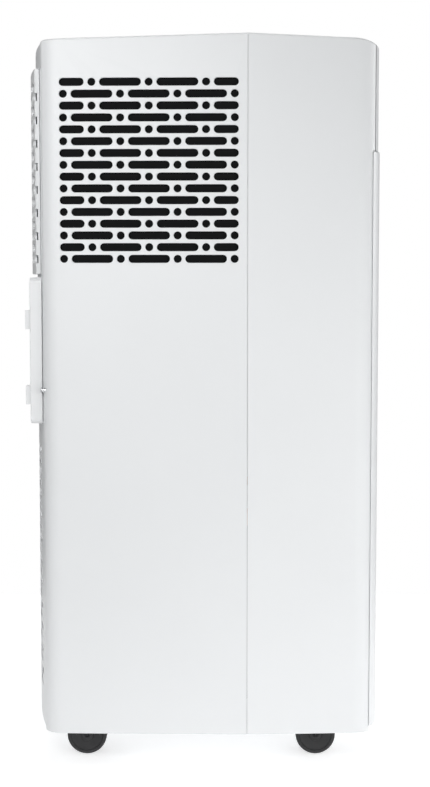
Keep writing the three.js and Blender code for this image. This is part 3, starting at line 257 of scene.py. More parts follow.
def rod(axis, u, v, radius, start, end, steps=32):
    """A round bar or hole along axis, at (u, v) in the two other axes."""
    return prism("rod", circle(u, v, radius, steps), axis, start, end)


def rounded(u0, u1, v0, v1, radius, steps=6):
    return (arc(u1 - radius, v1 - radius, radius, 0, 90, steps)
            + arc(u0 + radius, v1 - radius, radius, 90, 180, steps)
            + arc(u0 + radius, v0 + radius, radius, 180, 270, steps)
            + arc(u1 - radius, v0 + radius, radius, 270, 360, steps))


def turned_rings(profile, axis, centre, steps):
    """A circle about the axis through centre for each (radius, along) of the profile."""
    rings = []
    for radius, along in profile:
        ring = []
        for u, v in circle(0, 0, max(radius, 1e-7), steps):
            offset = {"x": (along, u, v), "y": (u, along, v), "z": (u, v, along)}[axis]
            ring.append(Vector(centre) + Vector(offset))
        rings.append(ring)
    return rings


def turned(name, profile, axis, centre, steps):
    """A solid of revolution, flat at both ends of its profile."""
    return swept(name, turned_rings(profile, axis, centre, steps))


def ring_turned(name, profile, axis, centre, steps):
    """A ring of revolution: the profile is closed and stays clear of the axis."""
    vertices = [point for ring in turned_rings(profile, axis, centre, steps) for point in ring]
    faces = tube_faces(len(profile), steps)
    last = (len(profile) - 1) * steps
    for i in range(steps):
        j = (i + 1) % steps
        faces.append([last + i, last + j, j, i])
    return mesh_object(name, vertices, faces)


def soften(target, width, segments=2):
    """Rounds the edges that turn by more than SOFT_ANGLE."""
    bevel = target.modifiers.new("soft edges", "BEVEL")
    bevel.width = width
    bevel.segments = segments
    bevel.limit_method = "ANGLE"
    bevel.angle_limit = math.radians(SOFT_ANGLE)
    bevel.use_clamp_overlap = True
    return settle(target)


def shade(target):
    """Smooth shading that breaks at real edges and stays flat on flat faces."""
    mesh = target.data
    bm = bmesh.new()
    bm.from_mesh(mesh)
    bmesh.ops.dissolve_degenerate(bm, dist=1e-6, edges=bm.edges)
    for face in bm.faces:
        face.smooth = True
    for edge in bm.edges:
        edge.smooth = len(edge.link_faces) == 2 and edge.calc_face_angle(0) < math.radians(SHARP_ANGLE)
    bm.to_mesh(mesh)
    bm.free()
    normals = target.modifiers.new("weighted normals", "WEIGHTED_NORMAL")
    normals.keep_sharp = True
    normals.weight = 60


def dress(target, body, slot, material, *nodes):
    """Shades a finished piece, gives it its material and puts it on its body in place of CAD nodes."""
    shade(target)
    target.data.materials.clear()
    target.data.materials.append(material)
    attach(target, body)
    if nodes:
        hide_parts(*nodes)


# ---- Materials ----

def material(name, color, roughness, metallic=0.0):
    made = bpy.data.materials.new(name)
    made.use_nodes = True
    shader = made.node_tree.nodes["Principled BSDF"]
    shader.inputs["Base Color"].default_value = (*color, 1)
    shader.inputs["Roughness"].default_value = roughness
    shader.inputs["Metallic"].default_value = metallic
    return made, made.node_tree, shader


def add_node(tree, kind, **inputs):
    node = tree.nodes.new(kind)
    for key, value in inputs.items():
        node.inputs[key.replace("_", " ")].default_value = value
    return node


def surface_noise(tree, scale, detail, stretch=(1, 1, 1)):
    """Noise in the object's own metres; scale is in features per metre."""
    place = tree.nodes.new("ShaderNodeTexCoord")
    mapping = add_node(tree, "ShaderNodeMapping", Scale=stretch)
    noise = add_node(tree, "ShaderNodeTexNoise", Scale=scale, Detail=detail)
    tree.links.new(place.outputs["Object"], mapping.inputs["Vector"])
    tree.links.new(mapping.outputs["Vector"], noise.inputs["Vector"])
    return noise.outputs["Fac"]


# A wave texture of scale s repeats every BANDS_PER_UNIT / s metres.
BANDS_PER_UNIT = 0.314


def bands(tree, direction, pitch, distortion):
    """Light and dark bands in the object's own metres."""
    place = tree.nodes.new("ShaderNodeTexCoord")
    wave = add_node(tree, "ShaderNodeTexWave", Scale=BANDS_PER_UNIT / pitch, Distortion=distortion)
    wave.bands_direction = direction
    tree.links.new(place.outputs["Object"], wave.inputs["Vector"])
    return wave.outputs["Fac"]


def spread(tree, value, low, high):
    """Maps the middle of a noise value to the range low to high."""
    node = add_node(tree, "ShaderNodeMapRange", From_Min=0.3, From_Max=0.7, To_Min=low, To_Max=high)
    tree.links.new(value, node.inputs["Value"])
    return node.outputs["Result"]


def tint(tree, factor, color_a, color_b):
    node = tree.nodes.new("ShaderNodeMix")
    node.data_type = "RGBA"
    node.inputs["A"].default_value = (*color_a, 1)
    node.inputs["B"].default_value = (*color_b, 1)
    tree.links.new(factor, node.inputs["Factor"])
    return node.outputs["Result"]


def add_relief(tree, shader, height, strength, depth):
    bump = add_node(tree, "ShaderNodeBump", Strength=strength, Distance=depth)
    tree.links.new(height, bump.inputs["Height"])
    tree.links.new(bump.outputs["Normal"], shader.inputs["Normal"])


def scaled(color, factor):
    return tuple(min(1.0, channel * factor) for channel in color)


def moulded(name, color, roughness, grain=1500, bump=0.06, mottle=0.03, wear=0.1, coat=0.0):
    """Plastic or paint: fine grain, slow changes of tone and gloss, edges rubbed a little lighter."""
    made, tree, shader = material(name, color, roughness)
    slow = spread(tree, surface_noise(tree, 7, 4.0), 0, 1)
    tone = tint(tree, slow, scaled(color, 1 - mottle), scaled(color, 1 + mottle))
    shape = tree.nodes.new("ShaderNodeNewGeometry")
    edge = add_node(tree, "ShaderNodeMapRange", From_Min=0.53, From_Max=0.62, To_Min=0.0, To_Max=wear)
    tree.links.new(shape.outputs["Pointiness"], edge.inputs["Value"])
    rubbed = tint(tree, edge.outputs["Result"], color, scaled(color, 1.6))
    tree.links.new(tone, rubbed.node.inputs["A"])
    tree.links.new(rubbed, shader.inputs["Base Color"])
    gloss = spread(tree, surface_noise(tree, 45, 5.0), roughness * 0.92, roughness * 1.08)
    tree.links.new(gloss, shader.inputs["Roughness"])
    add_relief(tree, shader, surface_noise(tree, grain, 2.0), bump, 0.0002)
    shader.inputs["Coat Weight"].default_value = coat
    shader.inputs["Coat Roughness"].default_value = 0.08
    return made


def brushed(name, color, roughness, stretch):
    """Metal with fine lines along one direction and slow stains."""
    made, tree, shader = material(name, color, roughness, 1.0)
    lines = surface_noise(tree, 900, 3.0, stretch)
    stains = spread(tree, surface_noise(tree, 30, 4.0), 0, 1)
    tone = tint(tree, stains, scaled(color, 0.86), scaled(color, 1.08))
    tree.links.new(tone, shader.inputs["Base Color"])
    gloss = spread(tree, lines, roughness * 0.75, roughness * 1.25)
    tree.links.new(gloss, shader.inputs["Roughness"])
    add_relief(tree, shader, lines, 0.15, 0.0002)
    return made


def woven(name, color, pitch):
    """A net of round threads both ways, with painted shade in the dark gaps between the threads."""
    made, tree, shader = material(name, color, 0.85)
    shader.inputs["Specular IOR Level"].default_value = 0.15
    highest = tree.nodes.new("ShaderNodeMath")
    highest.operation = "MAXIMUM"
    for index, direction in enumerate(("Z", "DIAGONAL")):
        tree.links.new(bands(tree, direction, pitch, 0.4), highest.inputs[index])
    threads = highest.outputs["Value"]
    # Threads lighter, gaps between them dark: the gap darkness is painted shade.
    tone = tint(tree, threads, scaled(color, 0.25), scaled(color, 1.2))
    tree.links.new(tone, shader.inputs["Base Color"])
    add_relief(tree, shader, threads, 0.6, 0.0004)
    return made


def finned(name, color, pitch):
    """The edges of thin aluminium plates stacked along X, with painted shade in the dark gaps between them.
    """
    made, tree, shader = material(name, color, 0.42, 1.0)
    plates = bands(tree, "X", pitch, 0.15)
    # Dark bands between the plate edges: painted shade in the gaps between the fins.
    tree.links.new(tint(tree, plates, scaled(color, 0.12), color), shader.inputs["Base Color"])
    add_relief(tree, shader, plates, 0.9, 0.0006)
    return made


white_shell = moulded("white_shell", (0.80, 0.815, 0.825), 0.42, mottle=0.008, wear=0.05)
white_trim = moulded("white_trim", (0.80, 0.812, 0.82), 0.45, mottle=0.01, wear=0.05)
grey_plastic = moulded("grey_plastic", (0.58, 0.60, 0.615), 0.55, bump=0.1)
black_plastic = moulded("black_plastic", (0.018, 0.018, 0.02), 0.42, bump=0.1, mottle=0.12, wear=0.2)
black_rubber = moulded("black_rubber", (0.020, 0.020, 0.021), 0.62, 2200, bump=0.2, mottle=0.15, wear=0.25)
black_gloss = moulded("black_gloss", (0.012, 0.013, 0.016), 0.16, bump=0.02, mottle=0.05, wear=0.0, coat=0.6)
black_paint = moulded("black_paint", (0.014, 0.015, 0.016), 0.36, 500, bump=0.12, mottle=0.2, wear=0.3)
board_green = moulded("board_green", (0.02, 0.12, 0.05), 0.45, 300, bump=0.2, mottle=0.25)
# Side filter net: the filter's own black, made near-black as painted shade seen through the side grille
# holes.
dark_net = woven("dark_net", (0.006, 0.0065, 0.007), 0.0009)
grey_net = woven("grey_net", (0.05, 0.062, 0.075), 0.0011)
steel = brushed("steel", (0.60, 0.61, 0.62), 0.32, (1, 1, 12))
dark_steel = brushed("dark_steel", (0.045, 0.045, 0.047), 0.55, (1, 1, 12))
zinc = brushed("zinc", (0.55, 0.56, 0.57), 0.45, (1, 8, 1))
copper = brushed("copper", (0.72, 0.33, 0.18), 0.33, (1, 1, 6))
coil_fins = finned("coil_fins", (0.72, 0.74, 0.75), 0.0021)


# ---- Casing shapes ----

def plan_half(inset, proud=0.0):
    """The casing's outline from above, from the front face round to the middle of the back, x above 0."""
    side = SIDE_X - inset
    front = BEZEL_Y + inset - proud
    rear_edge = REAR_EDGE_Y - inset
    front_x = side - FRONT_TAPER
    rear_x = side - REAR_TAPER
    turn = [i / CORNER_STEPS for i in range(CORNER_STEPS + 1)]
    points = [(front_x - FRONT_CORNER * (1 - t) ** 2, front + FRONT_CORNER * t ** 2) for t in turn]
    points.append((side, SEAM_Y))
    for t in turn:
        points.append((rear_x - (rear_x - REAR_FACE_X) * t ** 2, rear_edge - REAR_CORNER * (1 - t) ** 2))
    for i in range(1, BULGE_STEPS + 1):
        x = REAR_FACE_X * (1 - i / BULGE_STEPS)
        points.append((x, rear_surface(x) - inset))
    return points


def rear_surface(x):
    """The back's bulge between its two flat-sided corners."""
    return SHELL_REAR_Y - REAR_BULGE * (x / REAR_FACE_X) ** 2


def side_surface(y):
    """Half the width of the casing behind its seam."""
    return SIDE_X - REAR_TAPER * (y - SEAM_Y) / (REAR_EDGE_Y - REAR_CORNER - SEAM_Y)


def top_surface(y):
    """Height of the crowned top."""
    brow = BEZEL_Y + FRONT_CORNER
    if y > SEAM_Y:
        t = (y - SEAM_Y) / (SHELL_REAR_Y - SEAM_Y)
        return HEIGHT - REAR_TOP_DROP * t * (1 + t) / 2
    if y > brow:
        return HEIGHT - FRONT_TOP_DROP * (SEAM_Y - y) / (SEAM_Y - brow)
    t = min(1.0, (brow - y) / FRONT_CORNER)
    return HEIGHT - FRONT_TOP_DROP - (NOSE_DROP - FRONT_TOP_DROP) * t ** 2


def mirrored(half):
    """A whole outline from its half: the last point lies on the middle line."""
    return half + [(-x, y) for x, y in reversed(half[:-1])]


def column(name, levels):
    """A solid through levels of (half outline, height or height function), closed by strips across it."""
    vertices = []
    for half, height in levels:
        for x, y in mirrored(half):
            vertices.append((x, y, height(y) if callable(height) else height))
    half_count = len(levels[0][0])
    count = 2 * half_count - 1
    faces = tube_faces(len(levels), count)
    for base in (0, (len(levels) - 1) * count):
        for i in range(half_count - 2):
            faces.append([base + i, base + i + 1, base + count - 2 - i, base + count - 1 - i])
        faces.append([base + half_count - 2, base + half_count - 1, base + half_count])
    return mesh_object(name, vertices, faces)


def casing_solid(name, bottom, proud=0.0, top=None, rounded_top=TOP_ROUND, rounded_foot=FOOT_ROUND):
    """The casing's outer form. Its top follows the crown unless a flat top is given."""
    levels = []
    for angle in (math.radians(30 * i) for i in range(4)):
        levels.append((plan_half(rounded_foot * (1 - math.sin(angle)), proud),
                       bottom + rounded_foot * (1 - math.cos(angle))))
    for angle in (math.radians(22.5 * i) for i in range(5)):
        drop = rounded_top * (1 - math.sin(angle))
        half = plan_half(rounded_top * (1 - math.cos(angle)), proud)
        if top is None:
            levels.append((half, lambda y, drop=drop: top_surface(y) - drop))
        else:
            levels.append((half, top - drop))
    return column(name, levels)


def hollow_solid(name, inset, bottom, proud=0.0, top=None):
    """The casing's form moved in by inset, with sharp edges."""
    half = plan_half(inset, proud)
    return column(name, [(half, bottom), (half, (lambda y: top_surface(y) - inset) if top is None else top)])


# ---- Perforations ----

def stadium(u, v, length, grow):
    radius = HOLE_WIDTH / 2 + grow
    half = (length - HOLE_WIDTH) / 2
    return (arc(u + half, v, radius, -90, 90, HOLE_END_STEPS)
            + arc(u - half, v, radius, 90, 270, HOLE_END_STEPS))


def perforations(name, holes, place, depth):
    """Cutters with a small round lip. place(u, v, d) is the point d above the surface."""
    levels = [(HOLE_LIP, 2 * HOLE_LIP)]
    for angle in (60, 30, 0):
        out = math.sin(math.radians(angle))
        levels.append((HOLE_LIP * (out - 1), HOLE_LIP * (1 - math.cos(math.radians(angle)))))
    levels.append((-depth, 0))
    vertices, faces = [], []
    count = 2 * (HOLE_END_STEPS + 1)
    for u, v, length in holes:
        base = len(vertices)
        for above, grow in levels:
            vertices += [place(a, b, above) for a, b in stadium(u, v, length, grow)]
        faces += [[base + i for i in face] for face in tube_faces(len(levels), count)]
        faces.append([base + i for i in range(count)])
        faces.append([base + (len(levels) - 1) * count + i for i in range(count)])
    return mesh_object(name, vertices, faces)


def grille_row(centre, periods, v, dots_at_ends):
    """Slots with a dot between each two. A row ends in dots or, shifted by half a period, in short slots."""
    first = centre - periods * PERIOD / 2
    shift = 0 if dots_at_ends else 0.5
    holes = []
    for i in range(periods + (1 if dots_at_ends else 0)):
        holes.append((first + (i + shift) * PERIOD, v, HOLE_WIDTH))
    for i in range(periods if dots_at_ends else periods - 1):
        holes.append((first + (i + 0.5 + shift) * PERIOD, v, LONG_SLOT))
    if not dots_at_ends:
        short = PERIOD / 2 - HOLE_SPACE
        out = (periods * PERIOD + HOLE_WIDTH - short) / 2
        holes += [(centre - out, v, short), (centre + out, v, short)]
    return holes


def grille_holes(centre, periods, bottom, rows):
    holes = []
    for row in range(rows):
        holes += grille_row(centre, periods, bottom + row * ROW_PITCH, row % 2 == 0)
    return holes


# ---- Rear shell ----

def groove_cutter(side, grow):
    """A finger groove whose floor rises to the surface at its foot."""
    low = lid_low.z - grow
    high = lid_high.z + grow
    rings = []
    for height, out in ((high, 0), (low + GROOVE_RAMP, 0), (low + GROOVE_RAMP / 3, 0.55), (low, 0.8)):
        shift = out * GROOVE_RADIUS
        outline = circle(side * GROOVE_X, GROOVE_Y + shift, GROOVE_RADIUS + grow, 32)
        rings.append([(x, y, height) for x, y in outline])
    return swept("groove", rings)


def land_cutter(grow):
    """Everything behind the flat land that the duct frame sits on."""
    low, high = duct_low.z - GAP - grow, duct_high.z + GAP + grow
    return slab(LAND_Y - grow, FAR, low, high)


def middle_of(low, high):
    return (low + high) / 2


def rear_fitting_hole(node):
    low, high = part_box(node)
    x, _, z = middle_of(low, high)
    radius = (high.x - low.x) / 2 - FITTING_LAP + GAP
    return rod("y", x, z, radius, REAR_EDGE_Y - REAR_CORNER, FAR)


def screw_hole(node):
    x, _, z = middle_of(*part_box(node))
    return rod("y", x, z, SCREW_HOLE_RADIUS, 0, FAR)


def make_rear_shell():
    shell = casing_solid("rear_shell_skin", BOTTOM)
    clip(shell, slab(SEAM_Y + GAP / 2, FAR))
    cut(shell, land_cutter(0), groove_cutter(1, 0), groove_cutter(-1, 0))
    hollow = hollow_solid("hollow", WALL, -BOTTOM)
    cut(hollow, land_cutter(WALL), groove_cutter(1, WALL), groove_cutter(-1, WALL))
    cut(shell, hollow)
    cut(shell, block("intake opening", lid_low.x + INTAKE_LAP, lid_high.x - INTAKE_LAP, 0, FAR,
                     lid_low.z + INTAKE_LAP, lid_high.z - INTAKE_LAP))
    cut(shell, rod("y", 0, PORT_Z, PORT_RADIUS + COLLAR_WALL + GAP, 0, FAR))
    cut(shell, rear_fitting_hole("drain_plug"), rear_fitting_hole("cord_gland"))
    cut(shell, screw_hole("duct_screw_left"), screw_hole("duct_screw_right"))
    lower = grille_holes(0, LOWER_PERIODS, LOWER_GRILLE_BOTTOM, LOWER_ROWS)
    cut(shell, perforations("lower grille", lower, lambda u, v, d: (u, rear_surface(u) + d, v), 2 * WALL))
    sides = grille_holes(SIDE_GRILLE_MIDDLE, SIDE_PERIODS, SIDE_GRILLE_BOTTOM, SIDE_ROWS)
    for side in (-1, 1):
        def place(u, v, d):
            return side * (side_surface(u) + d), u, v
        cut(shell, perforations("side grille", sides, place, 2 * WALL))
    dress(shell, "casing", "white_shell", white_shell, "rear_shell")


# ---- Front of the casing ----

def make_front_shell():
    shell = casing_solid("front_shell_skin", BOTTOM)
    clip(shell, slab(-FAR, SEAM_Y - GAP / 2))
    cut(shell, hollow_solid("hollow", WALL, -BOTTOM))
    cut(shell, slab(-FAR, panel_high.y + GAP, -FAR, bezel_low.z))
    cut(shell, slab(-FAR, BEZEL_SEAT + GAP, bezel_low.z - GAP, FAR))
    half_x, half_y = CONTROL_HALF_X + GAP, CONTROL_HALF_Y + GAP
    cut(shell, tilted(block("control opening", -half_x, half_x, -half_y, half_y, -8 * WALL, 8 * WALL)))
    dress(shell, "casing", "white_shell", white_shell, "front_shell")


def make_front_panel():
    proud = BEZEL_Y - panel_low.y
    panel = casing_solid("front_panel_skin", panel_low.z, proud, panel_high.z, PANEL_ROUND, PANEL_ROUND)
    clip(panel, slab(-FAR, panel_high.y))
    cut(panel, hollow_solid("panel hollow", WALL, panel_low.z + WALL, proud, panel_high.z - WALL))
    dress(panel, "casing", "white_shell", white_shell, "front_panel")


def make_front_bezel():
    bezel = casing_solid("front_bezel_skin", bezel_low.z, rounded_foot=BEZEL_ROUND)
    clip(bezel, slab(-FAR, BEZEL_SEAT - GAP))
    hollow = hollow_solid("bezel hollow", WALL, bezel_low.z + WALL)
    cut(bezel, clip(hollow, slab(-FAR, BEZEL_SEAT)))
    outer_half = OUTLET_HALF + THROAT_WALL
    join(bezel, block("throat", -outer_half, outer_half, BEZEL_Y + WALL / 2, bezel_high.y,
                      OUTLET_LOW - THROAT_WALL, OUTLET_HIGH + THROAT_WALL))
    lip = 0.8 * MM
    rings = []
    for y, grow in ((BEZEL_Y - lip, 2 * lip), (BEZEL_Y, lip), (BEZEL_Y + lip * 0.3, lip * 0.3),
                    (BEZEL_Y + lip, 0), (bezel_high.y + lip, 0)):
        outline = rounded(-OUTLET_HALF - grow, OUTLET_HALF + grow, OUTLET_LOW - grow, OUTLET_HIGH + grow,
                          lip + grow, 4)
        rings.append([(x, y, z) for x, z in outline])
    cut(bezel, swept("passage", rings))
    for index in range(1, VANE_COUNT + 1):
        x = middle_of(*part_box(f"air_vane_{index}")).x
        cut(bezel, rod("z", x, VANE_PIVOT_Y, VANE_PIN_RADIUS + GAP,
                       OUTLET_LOW - 2 * THROAT_WALL, OUTLET_HIGH + 2 * THROAT_WALL, 16))
    cut(bezel, rod("x", FLAP_PIVOT_Y, FLAP_PIVOT_Z, FLAP_PIN_RADIUS + GAP,
                   flap_low.x - GAP, flap_high.x + GAP, 16))
    dress(bezel, "casing", "white_shell", white_shell, "front_bezel")


def make_flap():
    """A flat blade with a stiffening lip along its back and a pivot pin at each end."""
    half = OUTLET_HALF - GAP
    front = flap_low.y
    blade = rounded(front, front + FLAP_THICKNESS, flap_low.z, flap_high.z, 0.9 * MM, 5)
    sheet = prism("louver_flap_blade", blade, "x", -half, half)
    lip_low, lip_high = flap_high.z - 6.9 * MM, flap_high.z - 4.7 * MM
    bar = rounded(front + 0.3 * MM, front + 2 * FLAP_THICKNESS, lip_low, lip_high, 0.7 * MM, 4)
    lip = prism("lip", bar, "x", -half, half)
    pin = rod("x", FLAP_PIVOT_Y, FLAP_PIVOT_Z, FLAP_PIN_RADIUS, flap_low.x, flap_high.x, 20)
    join(sheet, lip, pin)
    dress(sheet, "flap", "white_trim", white_trim, "louver_flap")


def make_vane(index):
    """A blade with a thin lens section, its pivot pins and its crank pin."""
    node = f"air_vane_{index}"
    low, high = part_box(node)
    x = middle_of(low, high).x
    steps = 12
    outline = []
    for side, times in ((1, range(steps)), (-1, range(steps, 0, -1))):
        for t in (i / steps for i in times):
            bulge = side * VANE_THICKNESS / 2 * max(math.sin(math.pi * t), 0) ** 0.5
            outline.append((x + bulge, low.y + (high.y - low.y) * t))
    blade = prism(f"{node}_blade", outline, "z", OUTLET_LOW + GAP, OUTLET_HIGH - GAP)
    notch_y = VANE_PIVOT_Y + VANE_PIN_RADIUS + 1 * MM
    notch_top = OUTLET_LOW + 6 * MM
    cut(blade, block("notch", x - CRANK_OFFSET, x + CRANK_OFFSET, notch_y, FAR, 0, notch_top))
    pin = rod("z", x, VANE_PIVOT_Y, VANE_PIN_RADIUS, low.z, high.z, 20)
    crank = rod("z", x, VANE_PIVOT_Y + CRANK_OFFSET, CRANK_PIN_RADIUS,
                OUTLET_LOW + 2.3 * MM, notch_top + 4 * MM, 16)
    join(blade, pin, crank)
    dress(blade, f"vane_{index}", "grey_plastic", grey_plastic, node)


# ---- Rear intake lid, filter and exhaust frame ----

def lid_outline(outset, half):
    """The lid seen from above: the back's bulge moved out, between two straight sides."""
    points = [(half, 0), (half, rear_surface(half) + outset)]
    for i in range(1, 2 * BULGE_STEPS):
        x = half * (1 - i / BULGE_STEPS)
        points.append((x, rear_surface(x) + outset))
    return points + [(-half, rear_surface(half) + outset), (-half, 0)]


def lid_layer(name, outset, inset):
    return prism(name, lid_outline(outset, lid_high.x - inset), "z", lid_low.z + inset, lid_high.z - inset)


def lid_holes():
    """Rows in step with the side grille; every other row runs out through both side edges."""
    rows = int((lid_high.z - ROW_PITCH - SIDE_GRILLE_BOTTOM) / ROW_PITCH) + 1
    reach = LID_SLOT_PERIODS * PERIOD
    holes = []
    for row in range(rows):
        v = SIDE_GRILLE_BOTTOM + row * ROW_PITCH
        if row % 2 == 0:
            holes += grille_row(0, 2 * LID_SLOT_PERIODS, v, True)
            start = reach + HOLE_WIDTH / 2 + HOLE_SPACE
            end = lid_high.x + HOLE_WIDTH
        else:
            for i in range(1 - LID_SLOT_PERIODS, LID_SLOT_PERIODS):
                holes.append((i * PERIOD, v, LONG_SLOT))
            for i in range(-LID_SLOT_PERIODS, LID_SLOT_PERIODS):
                holes.append(((i + 0.5) * PERIOD, v, HOLE_WIDTH))
            start = reach - LONG_SLOT / 2
            end = lid_high.x - 2 * LID_RIM
        holes += [(side * (start + end) / 2, v, end - start) for side in (-1, 1)]
    return holes


def make_intake_lid():
    proud = lid_high.y - SHELL_REAR_Y
    lid = lid_layer("intake_grille_lid", proud, 0)
    cut(lid, prism("shell behind", lid_outline(GAP, 1.2 * lid_high.x), "z", -FAR, FAR))
    soften(lid, 0.9 * MM, 3)
    cut(lid, lid_layer("pocket", proud - LID_SKIN, LID_RIM))

    def place(u, v, d):
        return u, rear_surface(u) + proud + d, v
    cut(lid, perforations("lid grille", lid_holes(), place, LID_SKIN + GAP))
    dress(lid, "intake_lid", "white_trim", white_trim, "intake_grille")


def make_duct_frame():
    """A shallow box with the port's collar and guard bars in it, and four hooks on its face."""
    half = duct_high.x
    rear = duct_high.y - HOOK_DEPTH
    front = LAND_Y + GAP
    low, high = duct_low.z, duct_high.z
    plate = prism("duct_frame_body", rounded(-half, half, low, high, FRAME_CORNER), "y", front, rear)
    soften(plate, 0.8 * MM, 3)
    inner = half - WALL
    hollow = rounded(-inner, inner, low + WALL, high - WALL, FRAME_CORNER - WALL)
    cut(plate, prism("hollow", hollow, "y", front - WALL, rear - WALL))
    collar_front = duct_low.y
    join(plate, rod("y", 0, PORT_Z, PORT_RADIUS + COLLAR_WALL, collar_front, rear - 1 * MM))
    lip = 1.2 * MM
    bore = [(PORT_RADIUS, collar_front - lip), (PORT_RADIUS, rear - lip),
            (PORT_RADIUS + 0.3 * lip, rear - 0.3 * lip), (PORT_RADIUS + lip, rear),
            (PORT_RADIUS + lip, rear + lip)]
    cut(plate, turned("bore", bore, "y", (0, 0, PORT_Z), 64))
    reach = PORT_RADIUS + COLLAR_WALL / 2
    for i in range(1, GUARD_BARS + 1):
        offset = PORT_RADIUS * (2 * i / (GUARD_BARS + 1) - 1)
        length = math.sqrt(reach ** 2 - (abs(offset) + GUARD_BAR) ** 2)
        left, right = offset - GUARD_BAR / 2, offset + GUARD_BAR / 2
        bar_rear = collar_front + GUARD_BAR
        upright = rounded(left, right, collar_front, bar_rear, 0.6 * MM, 3)
        join(plate, prism("upright bar", upright, "z", PORT_Z - length, PORT_Z + length))
        # The level bars are a little thinner, so that no two faces lie in one plane.
        level = rounded(collar_front + 0.05 * MM, bar_rear - 0.05 * MM, PORT_Z + left, PORT_Z + right,
                        0.6 * MM, 3)
        join(plate, prism("level bar", level, "x", -length, length))
    outer = half - HOOK_INSET
    foot, face = rear - 1 * MM, duct_high.y
    tip = outer - HOOK_WIDTH
    section = [(outer, foot), (outer, face), (tip, face), (tip, face - HOOK_FACE),
               (outer - WALL, face - HOOK_FACE), (outer - WALL, foot)]
    for rise in HOOK_RISES:
        for side in (-1, 1):
            bottom = low + rise
            hook = prism("hook", [(side * u, y) for u, y in section], "z", bottom, bottom + HOOK_HEIGHT)
            join(plate, soften(hook, 0.4 * MM))
    dress(plate, "casing", "white_trim", white_trim, "duct_frame")


def make_duct_screw(node):
    """A domed head with a cross recess, and a plain shank in its hole."""
    low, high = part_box(node)
    x, _, z = middle_of(low, high)
    head = (high.x - low.x) / 2 * INSIDE_BOX
    rise = high.y - LAND_Y
    tip = low.y - LAND_Y
    under = 0.05 * MM
    rim = 0.4 * MM
    profile = [(0, tip), (2 * MM, tip), (2 * MM, under), (head, under)]
    for angle in (math.radians(15 * i) for i in range(7)):
        profile.append((head * math.cos(angle), rim + (rise - rim) * math.sin(angle)))
    screw = turned(f"{node}_head", profile, "y", (x, LAND_Y, z), 32)
    for half_x, half_z in ((1.7 * MM, 0.35 * MM), (0.35 * MM, 1.7 * MM)):
        cut(screw, block("recess", x - half_x, x + half_x, LAND_Y + 0.7 * MM, FAR, z - half_z, z + half_z))
    dress(screw, "casing", "steel", steel, node)


def make_drain_plug():
    """A rubber plug: a stepped flange, a pull tab across it and two sealing rings on the shank."""
    low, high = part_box("drain_plug")
    x, _, z = middle_of(low, high)
    flange = (high.x - low.x) / 2 * INSIDE_BOX
    shank = flange - FITTING_LAP
    face = high.y
    profile = [(0, low.y), (shank - 0.8 * MM, low.y), (shank, low.y + 0.8 * MM)]
    neck = shank - 0.5 * MM
    for start in (low.y + 4 * MM, low.y + 8 * MM):
        profile += [(neck, start), (neck, start + 1.2 * MM), (shank, start + 1.6 * MM)]
    profile += [(shank, face - 2.4 * MM), (flange, face - 2.4 * MM), (flange, face - 1.6 * MM)]
    profile += [(flange - 0.7 * MM, face - 0.9 * MM), (shank - 0.5 * MM, face - 0.9 * MM)]
    profile += [(shank - 1.5 * MM, face - 1.5 * MM), (0, face - 1.5 * MM)]
    plug = turned("drain_plug_body", profile, "y", (x, 0, z), 48)
    tab = rounded(x - 1.2 * MM, x + 1.2 * MM, z - 4.2 * MM, z + 4.2 * MM, 1 * MM, 4)
    join(plug, prism("tab", tab, "y", face - 2 * MM, face))
    dress(plug, "drain_plug", "black_rubber", black_rubber, "drain_plug")


def make_cord_gland():
    """A round moulded inlet with a stepped flange and an empty bore."""
    low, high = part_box("cord_gland")
    x, _, z = middle_of(low, high)
    flange = (high.x - low.x) / 2 * INSIDE_BOX
    shank = flange - FITTING_LAP
    bore = 4 * MM
    face = high.y
    step = face - 0.8 * MM
    profile = [(bore, low.y), (shank, low.y), (shank, face - 2.4 * MM), (flange, face - 2.4 * MM),
               (flange, face - 1.5 * MM), (flange - 0.8 * MM, step), (shank - 0.6 * MM, step),
               (shank - 0.9 * MM, face), (bore + 0.7 * MM, face), (bore, face - 0.7 * MM)]
    gland = ring_turned("cord_gland_body", profile, "y", (x, 0, z), 48)
    dress(gland, "casing", "grey_plastic", grey_plastic, "cord_gland")


# ---- Controls on the sloping top ----

CONTROL_HALF_X = 88 * MM
CONTROL_HALF_Y = 28 * MM
CONTROL_FROM_SEAM = 20 * MM
CONTROL_Y = SEAM_Y - CONTROL_FROM_SEAM - CONTROL_HALF_Y
CONTROL_SLOPE = FRONT_TOP_DROP / (SEAM_Y - BEZEL_Y - FRONT_CORNER)
# The controls are made level, with z = 0 on their face, and then tilted onto the slope.
CONTROL_FRAME = (Matrix.Translation((0, CONTROL_Y, top_surface(CONTROL_Y)))
                 @ Matrix.Rotation(math.atan(CONTROL_SLOPE), 4, "X"))
CONTROL_THICKNESS = 3 * MM
CONTROL_LIP = 4 * MM
CONTROL_LIP_THICKNESS = 2 * MM
CONTROL_RIM = 3 * MM
BUTTON_RADIUS = 7 * MM
BUTTON_HEIGHT = 5 * MM
BUTTON_PROUD = 0.2 * MM
DISPLAY_HALF_X = 23 * MM
DISPLAY_HALF_Y = 12 * MM
DISPLAY_THICKNESS = 1.6 * MM
BUTTONS = ("timer", "mode", "power", "temp_down", "temp_up", "fan_speed")


def tilted(piece):
    piece.data.transform(CONTROL_FRAME)
    return piece


def plate_block(name, half_x, half_y, radius, z0, z1):
    return prism(name, rounded(-half_x, half_x, -half_y, half_y, radius), "z", z0, z1)


def button_x(name):
    return middle_of(*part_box(f"button_{name}")).x


